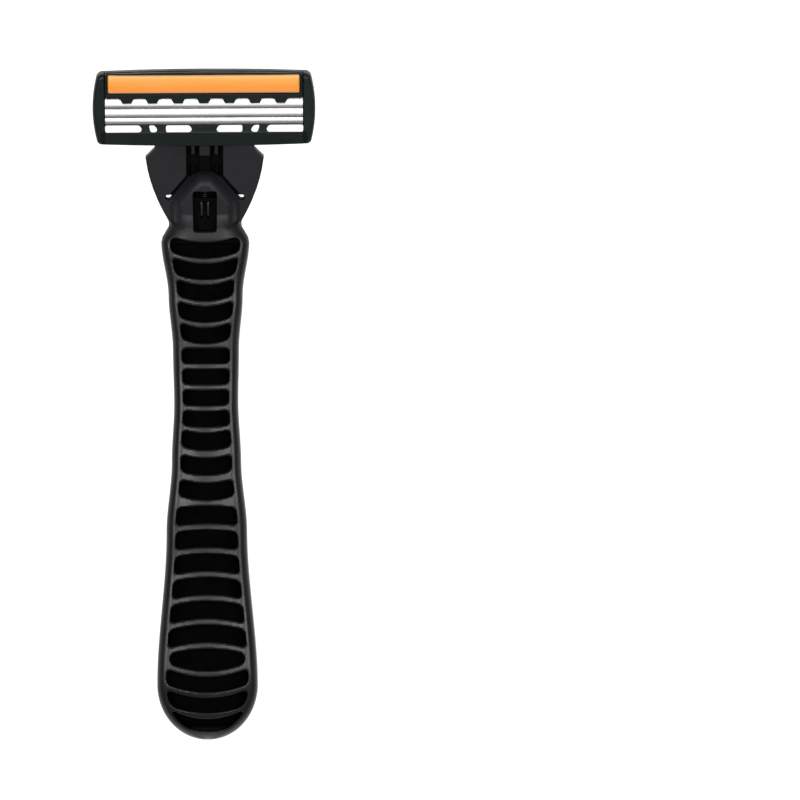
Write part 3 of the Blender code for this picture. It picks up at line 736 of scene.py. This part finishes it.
@in_head
def cover_field(x, q, w):
    body = meet(COVER_PLAN(x, q), COVER_W[0] - w, 0.55)
    body = meet(body, w - COVER_W[1], 0.1)
    x0, x1, q0, q1, w0, w1 = GUIDE
    guides = block(np.abs(x), q, w, (x0, x1), (q0, q1), (w0, w1), 0.12)
    first, pitch = GROOVES
    groove = first + pitch * np.round((np.clip(q, -0.6, 2.7) - first) / pitch)
    grip = np.hypot(q - groove, w - COVER_W[0] + 0.12) - 0.35
    body = cut(body, np.maximum(grip, np.abs(x) - 3.4), 0.12)
    return join(body, guides, 0.1)


RIB_PLAN = polygon(softened(RIB, 0.3))


def below(height):
    """Whether a place in the head is lower than a height, for the faces that take painted shade."""
    return in_head(lambda x, q, w: w < height)


@in_head
def slider_field(x, q, w):
    across = np.abs(x)
    body = block(x, q, w, (-SLIDER_X, SLIDER_X), SLIDER_Q, SLIDER_W, 0.15)
    body = join(body, block(across, q, w, PRONG, WEB[:2], WEB[2:], 0.1), 0.15)
    body = join(body, block(across, q, w, PRONG, (WEB[0] + 0.2, PRONG_TIP), PRONG_W, 0.18), 0.1)
    rib = meet(RIB_PLAN(q, w), np.abs(across - RIB_X) - RIB_HALF, 0.12)
    return join(body, rib, 0.12)


@in_head
def plunger_field(x, q, w):
    low, high = PLUNGER_Q
    flange, step = FLANGE
    half = (-PLUNGER_HALF, PLUNGER_HALF)
    stem = block(x, q, w, half, (low, high - 0.5), (PLUNGER_W[0], PLUNGER_STEM[1]), 0.15)
    stem = join(stem, block(x, q, w, half, (PLUNGER_STEM[0], high), PLUNGER_W, 0.35), 0.2)
    return join(stem, block(x, q, w, (-flange, flange), (low, low + step), PLUNGER_W, 0.12), 0.15)


SADDLE_CHEEK = softened([
    (SADDLE_Q[0], SADDLE_W[0] + 0.4), (SADDLE_Q[1] - 0.1, SADDLE_W[0] + 0.4), (SADDLE_Q[1] - 0.1, 0.6),
    (PIVOT_Q + CHEEK_RADIUS * 0.75, PIVOT_W - CHEEK_RADIUS * 0.75), (SADDLE_Q[0], PUSH_W[1]),
], 0.3)
CHEEK_PLAN = polygon(SADDLE_CHEEK)


@in_head
def saddle_field(x, q, w):
    inner, outer = CHEEK_X
    across = np.abs(x)
    beam = block(x, q, w, (-outer, outer), SADDLE_Q, SADDLE_W, 0.25)
    disc = np.hypot(q - PIVOT_Q, w - PIVOT_W) - CHEEK_RADIUS
    cheek = join(CHEEK_PLAN(q, w), disc, 0.3)
    cheek = meet(cheek, np.maximum(inner - across, across - outer), 0.15)
    pin = meet(np.hypot(q - PIVOT_Q, w - PIVOT_W) - PIN_RADIUS, across - LUG_X[1] + 0.1, 0.12)
    pin = np.maximum(pin, outer - 0.4 - across)
    push = block(across, q, w, PUSH_X, PUSH_Q, PUSH_W, 0.2)
    root = block(across, q, w, PUSH_X, (SADDLE_Q[0], PUSH_Q[1]), (PUSH_ROOT_W, PUSH_W[1]), 0.15)
    return join(join(join(beam, cheek, 0.3), pin, 0.08), join(root, push, 0.1), 0.15)


def coil_mesh(name, low, high, radius, wire, height):
    """A round wire wound along the neck, its ends closed."""
    around, along = 10, COIL_TURNS * 24
    points, faces = [], []
    for i in range(along + 1):
        angle = 2 * math.pi * i / 24
        centre = (radius * math.cos(angle), low + (high - low) * i / along, height + radius * math.sin(angle))
        for j in range(around):
            turn = 2 * math.pi * j / around
            out = radius + wire * math.cos(turn)
            points.append(head_point(
                out * math.cos(angle), centre[1] + wire * math.sin(turn), height + out * math.sin(angle)
            ))
    for i in range(along):
        for j in range(around):
            a, b = i * around + j, i * around + (j + 1) % around
            faces.append([a, b, b + around, a + around])
    faces.append(list(range(around))[::-1])
    faces.append(list(range(along * around, (along + 1) * around)))
    mesh = plain_mesh(name, points, faces)
    mesh.shade_smooth()
    return mesh


# Cartridge


def rim(x):
    """How far the long edges fall back from their middle at x."""
    return EDGE_BULGE * (x / HALF_WIDTH) ** 2


def side_at(c):
    """The end's outline: widest in the middle of the cartridge."""
    middle = (GUARD_C + CAP_C) / 2
    return HALF_WIDTH - SIDE_BULGE * ((c - middle) / (CAP_C - middle)) ** 2


def cartridge_outline():
    guard = [(x, GUARD_C + rim(x)) for x in (0.0, 6.0, 12.0, 19.2)]
    ends = [(side_at(c), c) for c in (-0.15, 1.6, 3.2, 4.7, 6.25, 7.8, 9.3, 10.8, 12.6)]
    cap = [(x, CAP_C - rim(x)) for x in (19.2, 12.0, 6.0, 0.0)]
    right = guard + ends + cap
    return softened(right + [(-x, c) for x, c in reversed(right) if x > 0], 0.3)


def rinse_outline(inner, outer):
    """A window in the guard; the narrow one leans towards the middle at the guard's edge."""
    low, high = RINSE_C
    lean = 0.35 if outer - inner < 2.0 else 0.0
    return softened([
        (inner - lean * 0.3, low + 0.45), (inner + 0.3 - lean * 0.3, low), (outer - lean, low), (outer, high),
        (inner + 0.5, high), (inner + 0.1, high - 0.5),
    ], 0.35)


CARTRIDGE_PLAN = polygon(cartridge_outline())
RINSE_PLANS = [polygon(rinse_outline(*ends)) for ends in RINSE_X]


def slope_tangent():
    return math.tan(math.radians(BLADE_ANGLE))


def guard_top(c):
    return FACE_U - GUARD_FALL * np.clip((GUARD_END - c) / GUARD_RUN, 0, 1)


def cut_guard(body, across, c, u):
    """The guard's sloping land, its low front and the crest that rises to the blades."""
    guard = np.maximum(np.maximum(c - GUARD_END, across - OPENING_X - 0.6), guard_top(c) - u)
    body = cut(body, guard, 0.2)
    body = cut(body, np.maximum(c - GUARD_FLOOR[0], u - GUARD_FLOOR[1]), 0.2)
    fall = (CREST_END[1] - FACE_U + CREST_DROP) / (CREST_END[0] - CREST_START)
    crest_top = FACE_U - CREST_DROP + fall * (c - CREST_START)
    along = np.maximum(CREST_START - c, c - CREST_END[0])
    return cut(body, np.maximum(along, np.maximum(across - OPENING_X, crest_top - u)), 0.08)


def cut_bed(body, across, c, u):
    """The slope that the blades lie on and the shelf behind them."""
    start = BLADE_EDGES["blade_front"]
    floor = BLADE_EDGE_U - BLADE_THICK / math.cos(math.radians(BLADE_ANGLE)) - FINE_GAP
    bed_top = floor - slope_tangent() * np.clip(c - start, 0, BLADE_WIDTH + 0.4)
    along = np.maximum(start - BED_LEAD - c, c - BED_END)
    body = cut(body, np.maximum(along, np.maximum(across - OPENING_X, bed_top - u)), 0.1)
    shelf = np.maximum(np.maximum(across - OPENING_X, REAR_SHELF[0] - c), REAR_SHELF[1] - u)
    return cut(body, shelf, 0.1)


def cut_windows(body, across, c, u):
    """The guard's rinse windows and the openings under the blades."""
    slanted = c - math.tan(math.radians(FACE_TILT)) * (u - FACE_U)
    body = cut(body, np.minimum.reduce([plan(across, slanted) for plan in RINSE_PLANS]), 0.14)
    flow = np.full(np.shape(across), FAR)
    for (_, first), (last, _) in zip(WEBS, WEBS[1:]):
        flow = np.minimum(flow, block(across, c, u, (first, last), FLOW_C, FLOW_U, 0.2))
    return cut(body, flow, 0.1)


def add_lugs(body, across, c, u):
    """The two lugs with their bores, in recesses that clear the saddle's cheeks."""
    radius = np.hypot(c, u)
    recess = join(radius - LUG_RADIUS - RECESS_GAP, np.maximum(np.abs(c) - LUG_RADIUS - RECESS_GAP, u), 0.0)
    body = cut(body, np.maximum(recess, np.maximum(CHEEK_X[0] - GAP - across, across - LUG_X[0])), 0.1)
    lug = join(radius - LUG_RADIUS, block(c, u, across, (-LUG_RADIUS, LUG_RADIUS), (0, 0.9), LUG_X), 0.0)
    lug = meet(lug, np.maximum(LUG_X[0] - across, across - LUG_X[1]), 0.12)
    body = join(body, lug, 0.1)
    ends = np.maximum(LUG_X[0] - 0.2 - across, across - LUG_X[1] - 0.2)
    return cut(body, np.maximum(radius - PIN_RADIUS - PIN_CLEARANCE, ends), 0.05)


@in_shave
def cartridge_field(x, c, u):
    across = np.abs(x)
    body = meet(meet(CARTRIDGE_PLAN(x, c), u - FRAME_TOP, 0.9), UNDER_U - u, 0.65)
    body = cut_guard(body, across, c, u)
    body = cut_bed(body, across, c, u)
    body = cut_windows(body, across, c, u)
    body = join(body, block(x, c, u, CAM[:2], CAM[2:4], CAM[4:], 0.25), 0.2)
    body = add_lugs(body, across, c, u)
    seam = np.hypot((across - OPENING_X - 0.15) * 1.4, u - guard_top(c)) - 0.2
    return cut(body, np.maximum(seam, c - GUARD_END), 0.08)


def cap_outline():
    half = OPENING_X - 0.1
    tip, base = TOOTH_C
    front = []
    for i in range(TEETH):
        x = (i - (TEETH - 1) / 2) * TOOTH_PITCH
        wide, narrow = TOOTH_BASE / 2, TOOTH_TIP / 2
        front += [(x - wide, base), (x - narrow, tip), (x + narrow, tip), (x + wide, base)]
    rear = [(x, CAP_C - rim(x)) for x in (half, 12.0, 6.0, 0.0, -6.0, -12.0, -half)]
    return softened([(-half, base), *front, (half, base), *rear], 0.22)


CAP_PLAN = Plan(polygon(cap_outline()), (-19.5, 6.0), (19.5, 14.5), 0.05)


@in_shave
def cap_field(x, c, u):
    half = OPENING_X - 0.3
    across = np.abs(x)
    body = meet(CAP_PLAN(x, c), u - FRAME_TOP, 0.3)
    body = meet(body, CAP_UNDER - u, 0.08)
    c0, c1, low = CAP_BODY
    body = join(body, block(x, c, u, (-half, half), (c0, c1), (low, CAP_UNDER + 0.3), 0.1))
    x0, x1, c0, c1 = STRIP
    gap = POCKET_GAP
    pocket = block(x, c, u, (x0 - gap, x1 + gap), (c0 - gap, c1 + gap), (STRIP_FLOOR - FINE_GAP, 5.0), 0.15)
    body = cut(body, pocket, 0.12)
    inner, outer, c0, c1, low = CAP_FOOT
    return join(body, block(across, c, u, (inner, outer), (c0, c1), (low, CAP_UNDER + 0.2), 0.1), 0.05)


@in_shave
def strip_field(x, c, u):
    x0, x1, c0, c1 = STRIP
    middle = (c0 + c1) / 2
    crown = 0.1 * ((c - middle) / (c1 - middle)) ** 2
    plan = block(x, c, u, (x0, x1), (c0, c1), (-5.0, 9.0), 0.25)
    body = meet(plan, u - STRIP_TOP + crown, 0.4)
    return meet(body, STRIP_FLOOR - u, 0.08)


def blade_profile(edge):
    """(c, u) around a blade: ground edge, upper face, back, lower face."""
    angle = math.radians(BLADE_ANGLE)

    def at(run, rise):
        c = edge + run * math.cos(angle) + rise * math.sin(angle)
        return c, BLADE_EDGE_U - run * math.sin(angle) + rise * math.cos(angle)

    half = -BLADE_THICK / 2
    back = BLADE_WIDTH - 0.02
    return [
        at(0.03, half), at(BLADE_GRIND * 0.4, half * 0.35), at(BLADE_GRIND, 0.0), at(back, 0.0),
        at(BLADE_WIDTH, -0.02), at(BLADE_WIDTH, 0.02 - BLADE_THICK), at(back, -BLADE_THICK),
        at(BLADE_GRIND, -BLADE_THICK),
    ]


def blade_mesh(name, edge):
    """A thin ground blade; its ground facets use the second material slot, painted dark as shade."""
    profile = blade_profile(edge)
    points, faces = extrusion(profile, -BLADE_HALF, BLADE_HALF, lambda c, u, x: shave_point(x, c, u))
    mesh = plain_mesh(name, points, faces)
    for i in (2, 3, 9):
        mesh.polygons[i].material_index = 1
    return mesh


def spacer_mesh(name, lower, upper):
    """A comb that keeps two blades apart, with gaps between its teeth for rinsing."""
    angle = math.radians(BLADE_ANGLE)
    apart = (upper - lower) * math.sin(angle)
    start = (upper - lower) + 0.9
    half = BLADE_HALF - 0.4
    root = (2.9 - 0.2) / math.cos(angle)
    outline = [(-half, BLADE_WIDTH), (-half, start)]
    for i in range(TEETH - 1):
        x = (i - (TEETH - 2) / 2) * TOOTH_PITCH
        outline += [(x - COMB_GAP, start), (x - COMB_GAP, root), (x + COMB_GAP, root), (x + COMB_GAP, start)]
    outline += [(half, start), (half, BLADE_WIDTH)]

    def place(x, run, rise):
        c = lower + run * math.cos(angle) + rise * math.sin(angle)
        return shave_point(x, c, BLADE_EDGE_U - run * math.sin(angle) + rise * math.cos(angle))

    points, faces = extrusion(outline, FINE_GAP, apart - BLADE_THICK - FINE_GAP, place)
    return plain_mesh(name, points, faces)


# Finishes


class Finish:
    """A Principled material being built from textures in the piece's own coordinates, in millimetres."""

    def __init__(self, name, metallic=0.0, specular=0.5):
        self.material = bpy.data.materials.new(name)
        self.material.use_nodes = True
        self.tree = self.material.node_tree
        self.shader = self.tree.nodes["Principled BSDF"]
        self.shader.inputs["Metallic"].default_value = metallic
        self.shader.inputs["Specular IOR Level"].default_value = specular
        self.place = self.add("ShaderNodeTexCoord").outputs["Object"]

    def along_depth(self):
        """0 to 1 through the piece's own box, along y."""
        box = self.add("ShaderNodeTexCoord").outputs["Generated"]
        return self.add("ShaderNodeSeparateXYZ", links={0: box}).outputs["Y"]

    def add(self, kind, values=None, links=None, **settings):
        node = self.tree.nodes.new(kind)
        for key, value in settings.items():
            setattr(node, key, value)
        for key, value in (values or {}).items():
            node.inputs[key].default_value = value
        for key, source in (links or {}).items():
            self.tree.links.new(source, node.inputs[key])
        return node

    def noise(self, size, detail=2.0, stretch=(1, 1, 1)):
        """A noise with features of about that size in millimetres."""
        scale = [1 / (MM * size * s) for s in stretch]
        place = self.add("ShaderNodeMapping", {"Scale": scale}, {"Vector": self.place}).outputs[0]
        values = {"Scale": 1.0, "Detail": detail}
        return self.add("ShaderNodeTexNoise", values, {"Vector": place}).outputs["Fac"]

    def span(self, source, low, high, from_low=0.3, from_high=0.7):
        values = {"From Min": from_low, "From Max": from_high, "To Min": low, "To Max": high}
        return self.add("ShaderNodeMapRange", values, {"Value": source}).outputs["Result"]

    def blend(self, factor, first, second):
        node = self.add("ShaderNodeMix", links={0: factor}, data_type="RGBA")
        for socket, colour in ((node.inputs[6], first), (node.inputs[7], second)):
            if isinstance(colour, tuple):
                socket.default_value = (*colour, 1.0)
            else:
                self.tree.links.new(colour, socket)
        return node.outputs[2]

    def ramp(self, source, stops):
        """Runs through (position, colour) stops as the source goes from 0 to 1."""
        node = self.add("ShaderNodeValToRGB", links={"Fac": source})
        bands = node.color_ramp.elements
        for i, (position, colour) in enumerate(stops):
            band = bands[i] if i < 2 else bands.new(position)
            band.position = position
            band.color = (*colour, 1.0)
        return node.outputs["Color"]

    def along(self, direction, origin, low, high):
        """0 to 1 as the place moves along a direction from low to high millimetres past origin."""
        values = {1: tuple(direction)}
        node = self.add("ShaderNodeVectorMath", values, {0: self.place}, operation="DOT_PRODUCT")
        base = Vector(direction).dot(Vector(origin))
        return self.span(node.outputs["Value"], 0.0, 1.0, (base + low) * MM, (base + high) * MM)

    def bump(self, layers):
        """Each layer is (height, depth in millimetres)."""
        normal = None
        for height, depth in layers:
            node = self.add("ShaderNodeBump", {"Strength": 1.0, "Distance": depth * MM}, {"Height": height})
            if normal:
                self.tree.links.new(normal, node.inputs["Normal"])
            normal = node.outputs["Normal"]
        self.tree.links.new(normal, self.shader.inputs["Normal"])

    def set(self, socket, source):
        self.tree.links.new(source, self.shader.inputs[socket])


def moulded_plastic(name, dark, light, rough, specular, polish=0.0):
    """Satin moulded plastic: fine grain, faint flow marks, a few scuffs; polish smooths it below the neck."""
    finish = Finish(name, specular=specular)
    patches = finish.noise(9.0, 3.0)
    grain = finish.noise(0.22, 2.0)
    scuffs = finish.noise(0.5, 3.0, (6, 1, 1))
    colour = finish.blend(finish.span(patches, 0, 1), dark, light)
    scuffed = finish.span(scuffs, 0, 0.35, 0.62, 0.75)
    worn = tuple(min(1, 2.2 * c + 0.004) for c in light)
    finish.set("Base Color", finish.blend(scuffed, colour, worn))
    wide = finish.span(patches, rough - 0.05, rough + 0.06)
    fine = finish.span(grain, -0.04, 0.04)
    total = finish.add("ShaderNodeMath", links={0: wide, 1: fine}, operation="ADD")
    grip = finish.span(finish.along((0, -1, 0), (0, NECK_Y, 0), 2.0, 5.0), 0.0, -polish, 0.0, 1.0)
    worked = finish.add("ShaderNodeMath", links={0: total.outputs[0], 1: grip}, operation="ADD")
    finish.set("Roughness", worked.outputs[0])
    finish.bump([(grain, 0.003), (scuffs, 0.004)])
    return finish.material


def rubber():
    finish = Finish("core_rubber", specular=0.015)
    pores = finish.noise(0.35, 3.0)
    dust = finish.noise(2.5, 4.0)
    # The rubber's near-black is partly its own colour and partly painted shade of the pocket floors where it
    # shows
    dark, dusty = (0.0004, 0.0004, 0.00045), (0.0011, 0.0011, 0.0012)
    finish.set("Base Color", finish.blend(finish.span(dust, 0, 1), dark, dusty))
    finish.set("Roughness", finish.span(pores, 0.72, 0.9))
    finish.bump([(pores, 0.02), (dust, 0.03)])
    return finish.material


def gel_strip():
    """A waxy strip: warm orange, paler towards both long edges, with a slightly uneven surface."""
    finish = Finish("gel_orange", specular=0.4)
    tilt = math.radians(FACE_TILT)
    across = finish.along((0, math.cos(tilt), math.sin(tilt)), (0, PIVOT_Y, PIVOT_Z), STRIP[2], STRIP[3])
    cloud = finish.noise(5.0, 3.0, (3, 1, 1))
    wax = finish.noise(0.6, 3.0)
    bands = finish.ramp(across, (
        (0.0, (0.62, 0.31, 0.16)), (0.1, (0.63, 0.22, 0.05)), (0.35, (0.68, 0.225, 0.022)),
        (0.62, (0.7, 0.26, 0.035)), (0.9, (0.68, 0.33, 0.075)), (1.0, (0.7, 0.42, 0.17)),
    ))
    finish.set("Base Color", finish.blend(finish.span(cloud, 0, 0.35), bands, (0.69, 0.31, 0.07)))
    finish.set("Roughness", finish.span(wax, 0.36, 0.5))
    finish.bump([(wax, 0.012), (cloud, 0.05)])
    finish.shader.inputs["Subsurface Weight"].default_value = 0.12
    finish.shader.inputs["Subsurface Radius"].default_value = (1.0, 0.4, 0.15)
    finish.shader.inputs["Subsurface Scale"].default_value = 0.0008
    return finish.material


def steel(name, colour, dull, rough, brush):
    """Cold-rolled steel, brushed along its length."""
    finish = Finish(name, metallic=1.0)
    lines = finish.noise(0.06, 2.0, (400, 1, 1))
    stains = finish.noise(3.0, 3.0, (3, 1, 1))
    finish.set("Base Color", finish.blend(finish.span(stains, 0, 1), colour, dull))
    finish.set("Roughness", finish.span(lines, rough - 0.05, rough + 0.07))
    finish.bump([(lines, brush)])
    return finish.material


def blade_face_painted_shade():
    """A blade's face with painted shade: dark at its edge and bright behind it, the dark standing for the
    ground bevel's darker reflection.
    """
    finish = Finish("blade_face_painted_shade", metallic=1.0)
    lines = finish.noise(0.06, 2.0, (400, 1, 1))
    stains = finish.noise(3.0, 3.0, (3, 1, 1))
    # Painted shade: the ramp darkens the face towards its cutting edge in place of the bevel's darker
    # reflection
    painted_edge_shade_tones = ((0.0, 0.03), (0.04, 0.09), (0.09, 0.22), (0.135, 0.42), (0.18, 0.68), (0.215, 0.9), (0.5, 0.93))
    bands = finish.ramp(finish.along_depth(), [(place, (tone, tone, tone * 0.99)) for place, tone in painted_edge_shade_tones])
    finish.set("Base Color", finish.blend(finish.span(stains, 0, 0.12), bands, (0.5, 0.5, 0.5)))
    finish.set("Roughness", finish.span(lines, 0.16, 0.26))
    finish.bump([(lines, 0.001)])
    return finish.material


def studio_floor():
    """Pale paper lit a little from below, which keeps the razor's shadow light."""
    finish = Finish("floor_paper", specular=0.2)
    fibres = finish.noise(1.2, 3.0)
    finish.set("Base Color", finish.blend(finish.span(fibres, 0, 1), (0.3, 0.3, 0.3), (0.34, 0.34, 0.34)))
    finish.set("Roughness", finish.span(fibres, 0.7, 0.8))
    finish.shader.inputs["Emission Color"].default_value = (1.0, 1.0, 1.0, 1.0)
    finish.shader.inputs["Emission Strength"].default_value = 0.92
    return finish.material


def make_finishes():
    satin = ((0.006, 0.0058, 0.007), (0.0082, 0.0078, 0.0093))
    # Painted highlight: a lighter, glossier copy of the black plastic, put on the slider's raised ribs to
    # stand for the light they catch
    painted_rib_highlight = ((0.016, 0.016, 0.018), (0.024, 0.024, 0.026))
    guard = ((0.0036, 0.0066, 0.0059), (0.0048, 0.0086, 0.0078))
    # Painted shade: a near-black copy of the plastic, put on faces down in slots, hollows and chambers and on
    # the whole back cover to stand for the shade there
    painted_recess_shade = ((0.0004, 0.0004, 0.00045), (0.001, 0.001, 0.0011))
    return {
        "black_plastic": moulded_plastic("satin_black", *satin, 0.42, 0.15, 0.15),
        "button_plastic": moulded_plastic("rib_black_painted_highlight", *painted_rib_highlight, 0.3, 0.3),
        "cartridge_plastic": moulded_plastic("cartridge_black", *guard, 0.38, 0.16),
        "recess_painted_shade": moulded_plastic("recess_black_painted_shade", *painted_recess_shade, 0.6, 0.03),
        "black_rubber": rubber(),
        "orange_strip": gel_strip(),
        "blade_steel": blade_face_painted_shade(),
        # Painted shade: the ground edge's near-black steel stands for the darker reflection of the bevel
        "ground_edge_painted_shade": steel("blade_ground_edge", (0.07, 0.07, 0.07), (0.05, 0.05, 0.05), 0.26, 0.001),
        "spring_steel": steel("spring_wire", (0.05, 0.05, 0.055), (0.03, 0.03, 0.033), 0.4, 0.001),
        "aluminium": steel("spacer_aluminium", (0.5, 0.5, 0.51), (0.42, 0.42, 0.43), 0.38, 0.002),
    }


# Assembly


def body_of(node):
    for body, members in frame["record"]["behaviour"]["bodies"].items():
        if node in members:
            return body
    raise ValueError(node)


def place_piece(mesh, node, slot, finishes, looks=None, rooted=False):
    """Adds a piece for a CAD node, with the slot's own finish unless looks names others.

    A rooted piece stays where it is made, with its mesh baked in place; any other rides on its body.
    """
    piece = bpy.data.objects.new(f"{node}_fine", mesh)
    bpy.context.scene.collection.objects.link(piece)
    for name in looks or [slot]:
        mesh.materials.append(finishes[name])
    if rooted:
        start, end = ([v * MM for v in head_point(0, q, 0)] for q in (HINGE_Q, HINGE_Q + HINGE_BEND))
        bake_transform(piece)
        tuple(start)
        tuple(end)
    else:
        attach(piece, body_of(node))
    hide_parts(node)
    return piece


def make_shell(handle, finishes, coarse):
    """The front shell in two parts of one surface, the head's part with a finer mesh."""
    part_y = NECK_Y - PART_S
    for name, seam, voxel, reach in (
        ("head", handle.upper_seam, 0.15, (part_y, 99.0)),
        ("grip", handle.lower_seam, 0.27, (-99.0, part_y)),
    ):
        node = "handle_front_shell"
        mesh = mesh_of(f"shell_{name}_mesh", handle.front, node, voxel * coarse, seam, reach, handle.inside)
        # Faces down in the slots, the hollow and the chamber take the painted shade
        piece = place_piece(mesh, node, "black_plastic", finishes, ["black_plastic", "recess_painted_shade"])
        piece.name = f"{node}_{name}_fine"


def make_moulded(finishes):
    handle = Handle()
    coarse = 1.0
    make_shell(handle, finishes, coarse)
    for side, node in ((-1, "left_arm"), (1, "right_arm")):
        mesh = mesh_of(f"{node}_mesh", arm_field(side), node, 0.14 * coarse, arm_seam)
        place_piece(mesh, node, "black_plastic", finishes, rooted=True)
    # Node, field, voxel and slot, then the finish of its faces and which of them are inner ones that take the
    # painted recess shade
    shaded = (
        ("handle_back_shell", handle.back, 0.3, "black_plastic", "black_plastic", handle.tray),
        # The slider's raised ribs take the painted highlight and its lower faces the painted shade
        ("release_slider", slider_field, 0.11, "button_plastic", "button_plastic", below(SLIDER_W[1] + 0.25)),
        # The plunger's faces below the top of its stem take the painted shade
        ("plunger", plunger_field, 0.12, "button_plastic", "black_plastic", below(PLUNGER_STEM[1] + 0.1)),
    )
    for node, field, voxel, slot, look, inner in shaded:
        mesh = mesh_of(f"{node}_mesh", field, node, voxel * coarse, inner=inner)
        place_piece(mesh, node, slot, finishes, [look, "recess_painted_shade"])
    plain = (
        ("grip_core", handle.core, 0.5, "black_rubber", "black_rubber"),
        # The back cover takes only the painted recess shade, which stands for the shade seen through the
        # head's window
        ("head_back_cover", cover_field, 0.14, "black_plastic", "recess_painted_shade"),
        ("cartridge_saddle", saddle_field, 0.15, "cartridge_plastic", "cartridge_plastic"),
        ("cartridge_frame", cartridge_field, 0.17, "cartridge_plastic", "cartridge_plastic"),
        ("cartridge_cap", cap_field, 0.13, "cartridge_plastic", "cartridge_plastic"),
        ("lubricating_strip", strip_field, 0.16, "orange_strip", "orange_strip"),
    )
    for node, field, voxel, slot, look in plain:
        mesh = mesh_of(f"{node}_mesh", field, node, voxel * coarse)
        place_piece(mesh, node, slot, finishes, [look])


def make_springs(finishes):
    spans = (
        ("plunger_spring", CHAMBER_Q[0], PLUNGER_Q[0], PLUNGER_COIL, "plunger_slide", 0),
        ("slider_spring", SLIDER_Q[1], SEAT_Q, SLIDER_COIL, "slider_push", 1),
    )
    for node, low, high, (radius, wire, height), joint, fixed in spans:
        seat = wire + 0.1
        ends = (low + seat, high - seat)
        spring = place_piece(
            coil_mesh(f"{node}_mesh", *ends, radius, wire, height), node, "spring_steel", finishes
        )
        anchor = [v * MM for v in head_point(0, ends[fixed], height)]
        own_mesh(spring)


def make_blade_pack(finishes):
    names = list(BLADE_EDGES)
    for name, edge in BLADE_EDGES.items():
        mesh = blade_mesh(f"{name}_mesh", edge)
        place_piece(mesh, name, "blade_steel", finishes, ["blade_steel", "ground_edge_painted_shade"])
    for spacer, lower, upper in (("spacer_front", 0, 1), ("spacer_rear", 1, 2)):
        mesh = spacer_mesh(f"{spacer}_mesh", BLADE_EDGES[names[lower]], BLADE_EDGES[names[upper]])
        place_piece(mesh, spacer, "aluminium", finishes)


# Studio


def make_floor():
    mesh = bpy.data.meshes.new("floor")
    corners = [(a * FLOOR_HALF, b * FLOOR_HALF, FLOOR_Z) for a, b in ((-1, -1), (1, -1), (1, 1), (-1, 1))]
    mesh.from_pydata(corners, [], [[0, 1, 2, 3]])
    mesh.materials.append(studio_floor())
    floor = bpy.data.objects.new("floor", mesh)
    bpy.context.scene.collection.objects.link(floor)


def area_light(name, place, target, size, power):
    data = bpy.data.lights.new(name, "AREA")
    data.shape = "RECTANGLE"
    data.size, data.size_y = size
    data.energy = power
    light = bpy.data.objects.new(name, data)
    light.location = place
    light.rotation_euler = (Vector(target) - Vector(place)).to_track_quat("-Z", "Y").to_euler()
    bpy.context.scene.collection.objects.link(light)


def make_world():
    """A soft dome: bright overhead and darker towards the horizon."""
    world = bpy.data.worlds.new("studio")
    world.use_nodes = True
    tree = world.node_tree
    background = tree.nodes["Background"]
    place = tree.nodes.new("ShaderNodeTexCoord")
    parts = tree.nodes.new("ShaderNodeSeparateXYZ")
    ramp = tree.nodes.new("ShaderNodeMapRange")
    for socket, value in (("From Min", 0.0), ("From Max", 0.75), ("To Min", 0.1), ("To Max", 0.55)):
        ramp.inputs[socket].default_value = value
    tree.links.new(place.outputs["Generated"], parts.inputs[0])
    tree.links.new(parts.outputs["Z"], ramp.inputs["Value"])
    tree.links.new(ramp.outputs["Result"], background.inputs["Strength"])
    background.inputs["Color"].default_value = (0.98, 0.99, 1.0, 1.0)
    bpy.context.scene.world = world


def make_lights():
    """Two strips, left and right of overhead, and a softbox beyond the head that the blades mirror."""
    bpy.context.scene.view_settings.view_transform = "Standard"
    for side in (-1, 1):
        place = (STRIP_LIGHT_X * side, 0.03, 1.1)
        area_light(f"strip_{side + 1}", place, (0, 0, 0), (0.14, 0.6), STRIP_WATTS)
    area_light("front", (0.0, 0.26, 1.15), (0, 0.06, 0), (0.3, 0.22), FRONT_WATTS)


def make_camera():
    data = bpy.data.cameras.new("camera")
    data.sensor_width = 36.0
    data.lens = data.sensor_width * (CAMERA_HEIGHT - PIVOT_Z * MM) / VIEW_WIDTH
    data.clip_start = 0.05
    camera = bpy.data.objects.new("camera", data)
    camera.location = (*VIEW_CENTRE, CAMERA_HEIGHT)
    camera.rotation_euler = (0.0, 0.0, math.radians(CAMERA_ROLL))
    bpy.context.scene.collection.objects.link(camera)
    bpy.context.scene.camera = camera


def main():
    finishes = make_finishes()
    make_moulded(finishes)
    make_springs(finishes)
    make_blade_pack(finishes)
    make_floor()
    make_world()
    make_lights()
    make_camera()


main()
